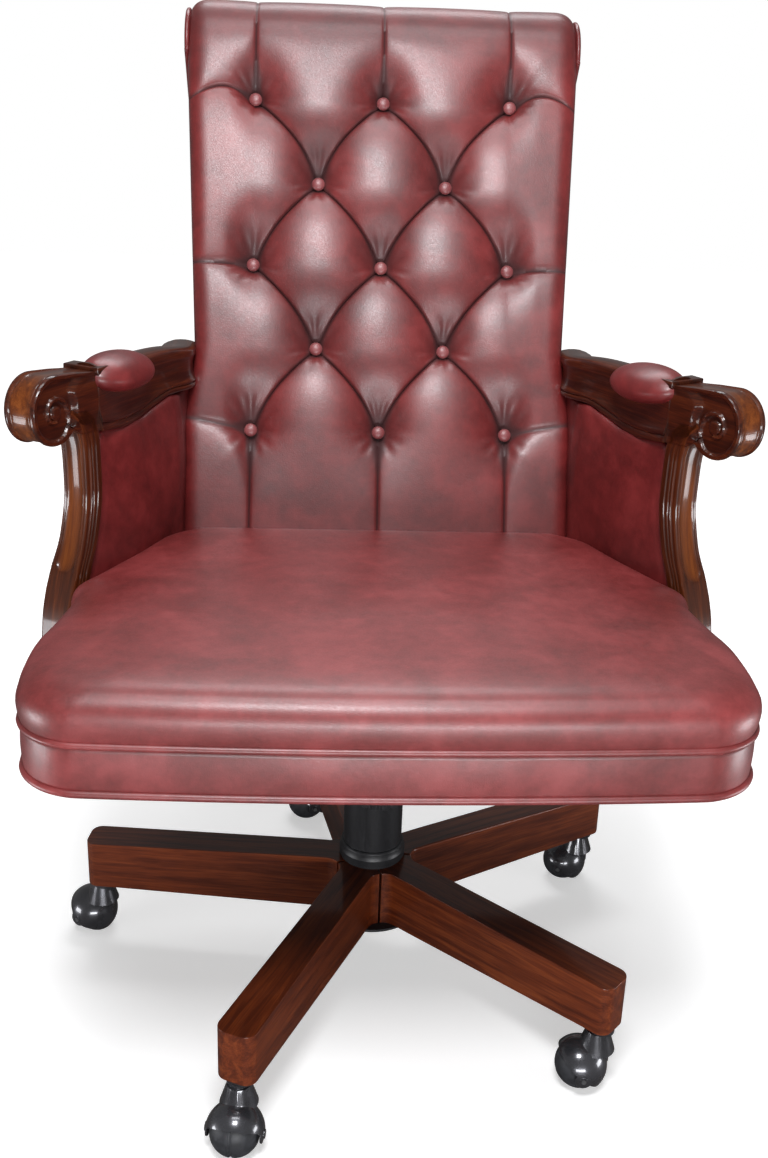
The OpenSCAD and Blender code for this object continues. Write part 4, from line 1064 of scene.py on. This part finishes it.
def build_scroll():
    """Rings about the eye: out over the far face, across the edge and in over the near face.
    Returns points, faces, grain and the painted light on its edge band."""
    sides = 240
    angle = np.linspace(0, 360, sides, endpoint=False)
    rim = np.maximum(scroll_radius((angle + 180) % 360 - 180), block_radius(angle))
    f = np.linspace(0, 1, 45)[:, None]
    round_share = 1 - block_share(angle, 0.80, 0.93)
    edge_r = rim + band_height(f) * round_share
    face_r = np.linspace(1, 0.02, 48)[1:, None] * (rim - 1.2)
    relief = face_relief(face_r, angle, rim - 1.2) * MM
    r = np.concatenate([face_r[::-1], edge_r, face_r])
    out = np.concatenate([-ARM_T - relief[::-1], -ARM_T + ARM_T * f + 0 * edge_r, relief])
    rad = np.radians(angle)[None]
    u, z = r * MM * np.cos(rad), r * MM * np.sin(rad)
    ends = arm_point(np.zeros(2), np.zeros(2), np.array([-ARM_T, 0.0]))
    points = np.concatenate([arm_point(u, z, out).reshape(-1, 3), ends])
    grain = np.concatenate([np.stack([u, z, out], -1).reshape(-1, 3), [[0, 0, -ARM_T], [0, 0, 0]]])
    # Painted light: the hollow of the edge band is lighter, most so at the front
    wear_and_painted_light = bump_at(f, 0.5, 0.42) * round_share * (0.55 + 0.45 * np.cos(rad))
    rub = np.clip(np.concatenate([0 * face_r, wear_and_painted_light, 0 * face_r]), 0, 1)
    return points, capped_rings(len(r), sides), grain, np.append(rub, [0, 0])


scroll = build_scroll()
print("scroll:", len(scroll[0]), "points")

# %% [markdown]
# Below the volute the post sweeps down to the seat in an S. Its front is
# fluted between two beads as far as a rounded stop, and its inner face carries
# three fine beads. The section is carried along the front edge's own curve.

# %% Post of an arm
POST_FRONT = np.array([[-18, -6], [-27, -14], [-33, -24], [-37, -38], [-38, -54], [-38, -92],
                       [-34, -118], [-26, -146], [-16, -168], [-7, -193], [-1, -213], [3, -238],
                       [5, -250], [5, -259.9]]) * MM
FLUTE_END = -0.170
# How far the post's inner corner is cut back, which leaves a lip round the front and outside
LIP = 2.2 * MM


def build_post():
    """The section at each height, from the front's outer edge: across the fluted front, back along
    the reeded inner face, over the rear and forward along the outer face. Depth is measured
    straight back, as the post is sawn."""
    path = smooth_path(POST_FRONT, 150)
    z = path[:, 1:]
    thick = ARM_T - MM * np.interp(-z * 1000, [20, 36, 54, 95, 140, 165, 190], [0, 5, 6, 6, 4.5, 2, 0])
    f = np.linspace(0, 1, 41)
    off_middle = np.abs(f - 0.5)
    below = np.clip(FLUTE_END + 0.011 - z, 0, None) / (0.33 * ARM_T)
    inside = np.clip(1 - (off_middle / 0.33) ** 2 - below**2, 0, 1)
    fluted = smoothstep(z, FLUTE_END - 0.004, FLUTE_END + 0.004)
    groove = (bump_at(f, 0.13, 0.04) + bump_at(f, 0.87, 0.04)) * fluted
    rounding = (np.clip(off_middle - 0.42, 0, 1) / 0.08) ** 2
    front_n = (-3.4 * inside**0.55 - 1.3 * groove - 2.2 * rounding) * MM
    d = np.linspace(0, 1, 31)[1:]
    reeds = bump_at(d, 0.2, 0.05) + bump_at(d, 0.42, 0.05) + bump_at(d, 0.64, 0.05)
    inner_n = -LIP - (POST_D - LIP) * d + 0 * z
    inner_l = (-1.4 * reeds - 1.0 * smoothstep(d, 0.93, 1.0)) * MM * smoothstep(-z, 0.02, 0.05)
    g = np.linspace(1, 0, 9)[1:]
    outer_n = -(LIP + (POST_D - LIP) * np.linspace(1, 0, 13)[1:-1]) + 0 * z
    n = np.concatenate([front_n, inner_n, -POST_D + 0 * z * g, outer_n], 1)
    out = np.concatenate([-thick * (1 - f), inner_l, -thick * (1 - g), -thick + 0 * outer_n], 1)
    # The relief of the front is cut square to its slope
    along = unit(np.gradient(path, axis=0))
    slope = np.where(along[:, 1:] > 0, -along[:, :1], along[:, :1])
    height = z + np.clip(slope * n, -0.004, 0.004) * (n > -0.006)
    ends = arm_point(path[[0, -1], 0] - POST_D / 2, path[[0, -1], 1], -thick[[0, -1], 0] / 2)
    points = np.concatenate([arm_point(path[:, :1] + n, height, out).reshape(-1, 3), ends])
    grain = np.stack([length_along(path)[:, None] + 0 * n, out, n], -1).reshape(-1, 3)
    grain = np.concatenate([grain, grain[[0, -1]]])
    # Painted light: the flute is lighter in its hollow, and the front, inner and outer faces a little
    # lighter all over
    front_painted_light = 0.25 + 0.75 * inside**0.4 * smoothstep(-z, 0.03, 0.07)
    rub = np.concatenate([front_painted_light, 0.22 + 0 * inner_n, 0 * z * g, 0.3 + 0 * outer_n], 1)
    return points, [q[:, ::-1] for q in capped_rings(*n.shape)], grain, np.append(rub, [0, 0])


post = build_post()
print("post:", len(post[0]), "points")


# %% [markdown]
# Behind the volute the block that takes the rail carries a thin moulded cap.
# It is a box with its arrises rounded. The scroll, the post and the cap are
# then one piece, as they are carved from one plank.

# %% Cap of the block, and the whole post
def rounded_box(low, high, radius, place):
    """A closed box in (u, z, out) with quarter rounds of a radius along its edges that run out,
    whose outline is drawn in by the radius at both ends. Returns its points, faces and the points
    before they were placed."""
    (u0, z0, l0), (u1, z1, l1) = low, high
    a = np.linspace(0, math.pi / 2, 5)
    middles = [(u1 - radius, z1 - radius), (u0 + radius, z1 - radius), (u0 + radius, z0 + radius),
               (u1 - radius, z0 + radius)]
    turns = [a + quarter * math.pi / 2 for quarter in range(4)]
    ring = np.concatenate([np.stack([u + radius * np.cos(b), z + radius * np.sin(b)], -1)
                           for (u, z), b in zip(middles, turns)])
    inward = unit(ring.mean(0) - ring)
    b = np.linspace(0, math.pi / 2, 4)
    insets = radius * (1 - np.cos(b))
    levels = np.concatenate([l0 + radius - radius * np.sin(b[::-1]), l1 - radius + radius * np.sin(b)])
    grid = np.stack([np.column_stack([ring + inward * inset, np.full(len(ring), level)])
                     for inset, level in zip([*insets[::-1], *insets], levels)])
    points = np.concatenate([grid.reshape(-1, 3), [[*ring.mean(0), l0], [*ring.mean(0), l1]]])
    return place(*points.T), capped_rings(len(grid), len(ring)), points


CAP_LOW, CAP_HIGH = (-0.0780, 0.0265, -ARM_T - 3.5 * MM), (-0.0600, 0.0338, 3.5 * MM)
cap = rounded_box(CAP_LOW, CAP_HIGH, 1.2 * MM, arm_point)
cap = (*cap, np.zeros(len(cap[0])))
points, faces = joined([part[:2] for part in (scroll, post, cap)])
grain, rub = (np.concatenate([part[k] for part in (scroll, post, cap)]) for k in (2, 3))
both_arms("arm_post_carved", "arm_post", points, faces, arm_wood, grain=grain, crease=42, rubbed=rub)
print("carved post:", len(points), "points")

# %% [markdown]
# The rail sweeps back and in to the side of the chair. Its inner face is a
# wide cove over a pair of beads, and its top is softly crowned. Its height
# changes on the way and its width doesn't, which a curve's bevel can't follow,
# so the section is carried from point to point.

# %% Rail of an arm
# Place across, place back, underside and top at points along the rail's inner face, in mm
RAIL_PATH = np.array([[211, 235, 634, 675], [211, 180, 634, 678], [231, 134, 636, 683], [247, 103, 629, 684],
                      [258, 78, 623, 685], [271, 46, 621.5, 686]]) * MM
RAIL_W = 0.043
rail_mouth = EYE - COLUMN + ARM_ALONG * -0.0641 + ARM_FACE * 0.0035
RAIL_PATH = np.concatenate([RAIL_PATH, [[rail_mouth[0], rail_mouth[1], 0.627, 0.6905]]])


def rail_profile():
    """Section of the rail as (share of width, share of height, relief in mm out of the inner face),
    from the bottom of the inner face round over the top."""
    f = np.linspace(0.0, 0.94, 40)
    cove = -3.2 * np.clip(1 - ((f - 0.52) / 0.3) ** 2, 0, 1) ** 0.8
    beads = 1.2 * (bump_at(f, 0.06, 0.055) + bump_at(f, 0.175, 0.05)) - 0.6 - 0.8 * bump_at(f, 0.118, 0.02)
    inner = np.stack([0 * f, f, np.where(f < 0.23, beads, cove)], -1)
    over = np.array([[0.04, 0.985], [0.14, 1.03], [0.3, 1.06], [0.45, 1.065], [0.6, 1.05], [0.78, 0.99],
                     [0.9, 0.92], [0.97, 0.84], [1, 0.76], [1, 0.6], [1, 0.4], [1, 0.2], [0.985, 0.08],
                     [0.93, 0.01], [0.8, 0], [0.5, 0], [0.2, 0], [0.06, 0]])
    return np.concatenate([inner, np.column_stack([over, np.zeros(len(over))])])


def build_rail():
    """The profile carried along the path. Across is square to the path, but turns to the scroll's
    plane at the front and straight across at the rear."""
    count = 90
    path = smooth_path(RAIL_PATH, count)
    flat, low, high = path[:, :2], path[:, 2:3], path[:, 3:4]
    d = unit(np.gradient(flat, axis=0))
    side = np.stack([-d[:, 1], d[:, 0]], -1)
    side = np.where(side[:, :1] < 0, -side, side)
    front = smoothstep(np.arange(count), 70, count - 1)[:, None]
    side = unit(side * (1 - front) - ARM_FACE[:2] * front)
    rear = 1 - smoothstep(np.arange(count), 0, 20)[:, None]
    side = unit(side * (1 - rear) + np.array([1.0, 0]) * rear)
    across, share, relief = rail_profile().T
    across = across * RAIL_W
    xy = flat[:, None] + side[:, None] * (across - relief * MM)[:, None]
    z = low + (high - low) * share
    points = np.concatenate([xy, z[..., None]], -1) + COLUMN
    grain = np.stack([length_along(flat)[:, None] + 0 * z, z, across + 0 * z], -1).reshape(-1, 3)
    points, ends = points.reshape(-1, 3), points[[0, -1]].mean(1)
    return np.concatenate([points, ends]), capped_rings(*z.shape), np.concatenate([grain, grain[[0, -1]]])


points, faces, grain = build_rail()
both_arms("arm_rail_moulded", "arm_rail", points, faces, arm_wood, grain=grain, crease=42)
print("rail:", len(points), "points")

# %% [markdown]
# Each arm pad is a plump oval let into the rail's inner edge. A squashed sphere
# is close to it, but a smaller power of the cosine makes its ends fuller.

# %% Arm pads
PAD_AT = COLUMN + np.array([0.2745, 0.052, 0.6795])
PAD_LONG = np.array([0.42, -0.9, 0.03])
PAD_WIDE = np.array([0.9, 0.42, 0.2])
PAD_L, PAD_W, PAD_H = 0.051, 0.0275, 0.0185


def build_arm_pad():
    """The oval pad: l = L sin v, w = W cos^0.85 v cos a, h = H cos^0.85 v sin a, along the pad's
    own three directions."""
    v = np.radians(np.linspace(-88, 88, 61))[:, None]
    a = np.linspace(0, 2 * math.pi, 96, endpoint=False)
    full = np.cos(v) ** 0.85
    long, wide, high = PAD_L * np.sin(v) + 0 * a, PAD_W * full * np.cos(a), PAD_H * full * np.sin(a)
    points = PAD_AT + long[..., None] * PAD_LONG + wide[..., None] * PAD_WIDE + high[..., None] * UPWARD
    ends = PAD_AT + np.array([[-1], [1]]) * PAD_L * PAD_LONG
    return np.concatenate([points.reshape(-1, 3), ends]), [q[:, ::-1] for q in capped_rings(len(v), len(a))]


both_arms("arm_pad_leather", "arm_pad", *build_arm_pad(), leather, fill=0.9)

# %% [markdown]
# Each panel between the seat and the rail is padded lightly and covered in the
# same hide. It has to meet four neighbours: the post in front, the rail above,
# the seat below and the back behind. A cloth sheet would gape at some of them,
# so the panel's shape is taken from theirs.

# %% Shape of a panel
POST_LINE = POST_FRONT[POST_FRONT[:, 1] < -0.05]
PANEL_LOW, PANEL_HIGH = 0.398, 0.630
# The face of the back, at the panel's foot, this far back of the column
BACK_FACE_Y = 0.093


def panel_inner(y, z):
    """Place across of the panel's inner face: a line through the places it has at some depths,
    drawn in 4 mm at mid height. Behind the face of the back it follows the side of the back."""
    base = np.interp(y, [-0.060, -0.030, 0.006, 0.050, 0.078, 0.103, 0.134, 0.152, 0.180, 0.215],
                     [0.318, 0.307, 0.2905, 0.269, 0.2578, 0.246, 0.231, 0.2261, 0.2247, 0.2247])
    up = z - PANEL_LOW
    drawn = base - 4 * MM * np.sin(math.pi * up / 0.242)
    beside = pad_width(up / math.cos(LEAN) + 0.016) + 0.3 * MM
    late = smoothstep(y - BACK_FACE_Y - up * math.tan(LEAN), -0.012, 0.022)
    return drawn * (1 - late) + np.minimum(drawn, beside) * late


def rail_under(y):
    """Height of the rail's underside at a depth."""
    return np.interp(y, [-0.060, 0.006, 0.046, 0.078, 0.103, 0.134, 0.180],
                     [0.627, 0.627, 0.6215, 0.623, 0.629, 0.636, 0.634])


def panel_turn(y):
    """The way across the panel's thickness at a depth, in radians."""
    return np.radians(np.interp(y, [-0.060, 0.010, 0.050, 0.080, 0.110, 0.150, 0.185],
                                [28.6, 28.6, 25, 25, 28, 20, 4]))


# %% [markdown]
# The panel is one closed outline in plan, carried upwards: the outline's two
# faces swell and its corners are quarter rounds.

# %% Panel of an arm
def build_panel():
    """A rounded oblong in plan, y back and w across, carried up the panel; the inner face swells 6
    mm and the outer one 3 mm, and the top and bottom are rounded over."""
    f = np.linspace(0, 1, 56)[:, None]
    z = PANEL_LOW + (PANEL_HIGH - PANEL_LOW) * f
    front = np.interp(z - EYE[2], POST_LINE[::-1, 1], POST_LINE[::-1, 0])
    first = (EYE - COLUMN)[:2] + (front - POST_D - 0.4 * MM) * ARM_ALONG[:2] - 4 * MM * ARM_FACE[:2]
    x0, y0 = first[:, :1], first[:, 1:]
    y1 = BACK_FACE_Y + (z - PANEL_LOW) * math.tan(LEAN) + 0.036
    wide = 34 * MM + 4 * MM * np.sin(math.pi * f)
    r = 7 * MM
    a = np.linspace(0, math.pi / 2, 7)
    s_in, s_out = np.linspace(0, 1, 60), np.linspace(1, 0, 40)[1:-1]
    puff_in = 6 * MM * np.sin(math.pi * s_in) ** 0.6 * np.sin(math.pi * np.clip(f, 0.001, 0.999)) ** 0.6
    puff_out = 3 * MM * np.sin(math.pi * s_out) * np.sin(math.pi * f)
    span = y1 - y0 - 2 * r
    # Inner face, two rear corners, outer face and two front corners
    plan = [(y0 + r + span * s_in, -puff_in),
            (y1 - r + r * np.sin(a)[1:], r - r * np.cos(a)[1:] + 0 * f),
            (y1 - r + r * np.cos(a), wide - r + r * np.sin(a)),
            (y0 + r + span * s_out, wide + puff_out),
            (y0 + r - r * np.sin(a), wide - r + r * np.cos(a)),
            (y0 + r - r * np.cos(a)[:-1], r - r * np.sin(a)[:-1] + 0 * f)]
    y, w = (np.concatenate([part[k] for part in plan], 1) for k in (0, 1))
    near = smoothstep(y - y0, 0.0, 0.075)
    x = panel_inner(y, z) * near + (x0 - 0.45 * (y - y0)) * (1 - near)
    turn = panel_turn(y)
    height = PANEL_LOW + (rail_under(y) - 1.2 * MM - PANEL_LOW) * f
    points = np.stack([x + w * np.cos(turn), y + w * np.sin(turn), height], -1) + COLUMN
    # The top and bottom edges are drawn in by a quarter round
    to_edge = np.clip(np.minimum(f, 1 - f) / 0.025, 0, 1)
    draw = 0.06 * (1 - np.sqrt(np.clip(1 - (1 - to_edge) ** 2, 0, 1)))
    points[..., :2] += (points.mean(1, keepdims=True) - points)[..., :2] * draw[..., None]
    flat = np.concatenate([points.reshape(-1, 3), points[[0, -1]].mean(1)])
    return flat, [q[:, ::-1] for q in capped_rings(*y.shape)]


both_arms("arm_panel_leather", "arm_panel", *build_panel(), leather, fill=0.4)
print("pads and panels placed")

# %% [markdown]
# Tilt spring
#
# The spring under the seat is wound from 5 mm wire. A screw modifier could wind
# it too, but a round cord along a helix needs no modifier.

# %% Coil of the tilt spring
def build_spring():
    """A helix: radius 13 mm, six turns between the seats."""
    low, high = (np.array(corner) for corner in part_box("tilt_spring"))
    middle = (low + high) / 2
    wire, turns = 2.4 * MM, 6
    s = np.linspace(0, 1, 240)
    a = 2 * math.pi * turns * s
    z = low[2] + 2.6 * MM + (high[2] - low[2] - 5.2 * MM) * s
    path = np.stack([middle[0] + 13 * MM * np.cos(a), middle[1] + 13 * MM * np.sin(a), z], -1)
    obj = make_piece("tilt_spring_coil", *tube(path, wire, sides=10), zinc, "seat")
    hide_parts("tilt_spring")
    print("spring:", turns, "turns")


build_spring()

# %% [markdown]
# Studio
#
# A pale floor and soft boxes. A picture of a studio as the sky would light the
# chair in one step, but a lamp can be placed for each highlight. The key hangs
# above and in front of the back, and one hangs over the seat. One behind the
# chair shines over its back, so the front of the seat has a sheen and the rear
# lies in the back's shade. A long low one lights the border and the legs, and a
# small one low on each side shows the lacquer. The world and the floor read
# white to the camera, and the floor still takes the chair's shadow.

# %% World, floor, lamps and camera
def build_world():
    """White to the camera and through glass. It lights the chair with a tenth of that, and shows in
    its gloss with a fifth, as a dim studio does."""
    world = bpy.data.worlds.new("studio")
    bpy.context.scene.world = world
    world.use_nodes = True
    tree = world.node_tree
    tree.nodes.clear()
    path = add(tree, "ShaderNodeLightPath")
    seen = add(tree, "ShaderNodeMath", {0: path.outputs["Is Camera Ray"],
                                        1: path.outputs["Is Transmission Ray"]}, operation="MAXIMUM")
    dim = add(tree, "ShaderNodeMath", {0: path.outputs["Is Glossy Ray"], 1: 0.1, 2: 0.1},
              operation="MULTIPLY_ADD")
    strength = add(tree, "ShaderNodeMath", {0: seen.outputs[0], 1: dim.outputs[0]}, operation="MAXIMUM")
    sky = add(tree, "ShaderNodeBackground", {"Color": (1, 1, 1, 1), "Strength": strength.outputs[0]})
    add(tree, "ShaderNodeOutputWorld", {"Surface": sky.outputs[0]})


build_world()


def floor_material():
    """Pale vinyl. To the camera it also glows a little, more so further out, so that it reads white
    and keeps a soft shadow. In the chair's gloss it is darker, as a small studio's floor is."""
    made, tree, shader = start_material("pale_studio_floor")
    path = add(tree, "ShaderNodeLightPath")
    paint = add(tree, "ShaderNodeMix", {"Factor": path.outputs["Is Glossy Ray"], "A": colour("#f1f0ee"),
                                        "B": colour("#524d4a")}, data_type="RGBA")
    tree.links.new(paint.outputs[2], shader.inputs["Base Color"])
    shader.inputs["Roughness"].default_value = 0.7
    shader.inputs["Emission Color"].default_value = (1, 1, 1, 1)
    place = add(tree, "ShaderNodeTexCoord").outputs["Object"]
    far = add(tree, "ShaderNodeVectorMath", {0: place}, operation="LENGTH")
    glow = add(tree, "ShaderNodeMapRange", {0: far.outputs["Value"], 1: 0.35, 2: 1.6, 3: 0.45, 4: 1.0})
    seen = add(tree, "ShaderNodeMath", {0: glow.outputs[0], 1: path.outputs["Is Camera Ray"]},
               operation="MULTIPLY")
    tree.links.new(seen.outputs[0], shader.inputs["Emission Strength"])
    return made


def build_floor():
    """A square sheet, 12 m wide, which belongs to the studio and not to the chair."""
    s = 6.0
    p = np.array([[-s, -s, 0], [s, -s, 0], [s, s, 0], [-s, s, 0]])
    floor = make_piece("studio_floor", p, [np.array([[0, 1, 2, 3]])], floor_material(), None)
    floor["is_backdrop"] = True


build_floor()


def soft_box(name, place, aim, width, height, power):
    """A rectangular lamp of a power in watts at a place, turned to face a point."""
    lamp = bpy.data.lights.new(name, "AREA")
    lamp.shape = "RECTANGLE"
    lamp.size, lamp.size_y, lamp.energy = width, height, power
    lamp.color = (0.96, 0.97, 1.0)
    obj = bpy.data.objects.new(name, lamp)
    bpy.context.scene.collection.objects.link(obj)
    back = unit(np.array(place) - np.array(aim))
    right = unit(np.cross(UPWARD, back))
    m = np.eye(4)
    m[:3, 0], m[:3, 1], m[:3, 2], m[:3, 3] = right, np.cross(back, right), back, place
    obj.matrix_world = Matrix(m.tolist())


soft_box("box_key", (-0.1, -1.2, 2.05), (0, 0, 0.65), 0.6, 0.5, 29)
soft_box("box_above", (0.0, -0.45, 2.75), (0, -0.15, 0.5), 1.3, 0.6, 17)
soft_box("box_top", (0.0, 1.15, 2.25), (0, -0.1, 0.5), 1.2, 0.5, 15)
soft_box("box_low", (0.1, -2.1, 0.3), (0, 0, 0.4), 1.2, 0.3, 22)
soft_box("box_left", (-1.25, -0.48, 0.14), (-0.33, -0.15, 0.42), 0.5, 0.3, 5)
soft_box("box_right", (1.3, -0.42, 0.14), (0.33, -0.15, 0.42), 0.5, 0.3, 5)


def build_camera():
    """The photograph's view: 61 mm on a 36 mm wide frame, from above and in front, with a slight
    roll. The focal length was fitted in pixels of the photograph."""
    yaw, pitch, roll = -0.0568, 0.3702, -0.0361
    cy, sy, cp, sp, cr, sr = (f(a) for a in (yaw, pitch, roll) for f in (math.cos, math.sin))
    about_z = np.array([[cy, -sy, 0], [sy, cy, 0], [0, 0, 1]])
    about_x = np.array([[1, 0, 0], [0, cp, sp], [0, -sp, cp]])
    about_y = np.array([[cr, 0, sr], [0, 1, 0], [-sr, 0, cr]])
    turn = about_z @ about_x @ about_y
    data = bpy.data.cameras.new("photo_view")
    data.sensor_fit = "HORIZONTAL"
    data.sensor_width = 36.0
    focal_px, photo_px = 1301.26, 768
    data.lens = data.sensor_width * focal_px / photo_px
    camera = bpy.data.objects.new("photo_view", data)
    bpy.context.scene.collection.objects.link(camera)
    m = np.eye(4)
    m[:3, 0], m[:3, 1], m[:3, 2] = turn[:, 0], turn[:, 2], -turn[:, 1]
    m[:3, 3] = (-0.0701, -1.3309, 0.9722)
    camera.matrix_world = Matrix(m.tolist())
    bpy.context.scene.camera = camera
    print("camera:", round(data.lens, 1), "mm lens, and", len(bpy.data.lights), "lamps")


build_camera()
bpy.context.scene.view_settings.view_transform = "Standard"

# %% Sizes, and the end
seen_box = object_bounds()
for title, box in (("CAD", cad_box), ("visual", seen_box)):
    print(title, "size:", [[round(float(c), 4) for c in v] for v in box])
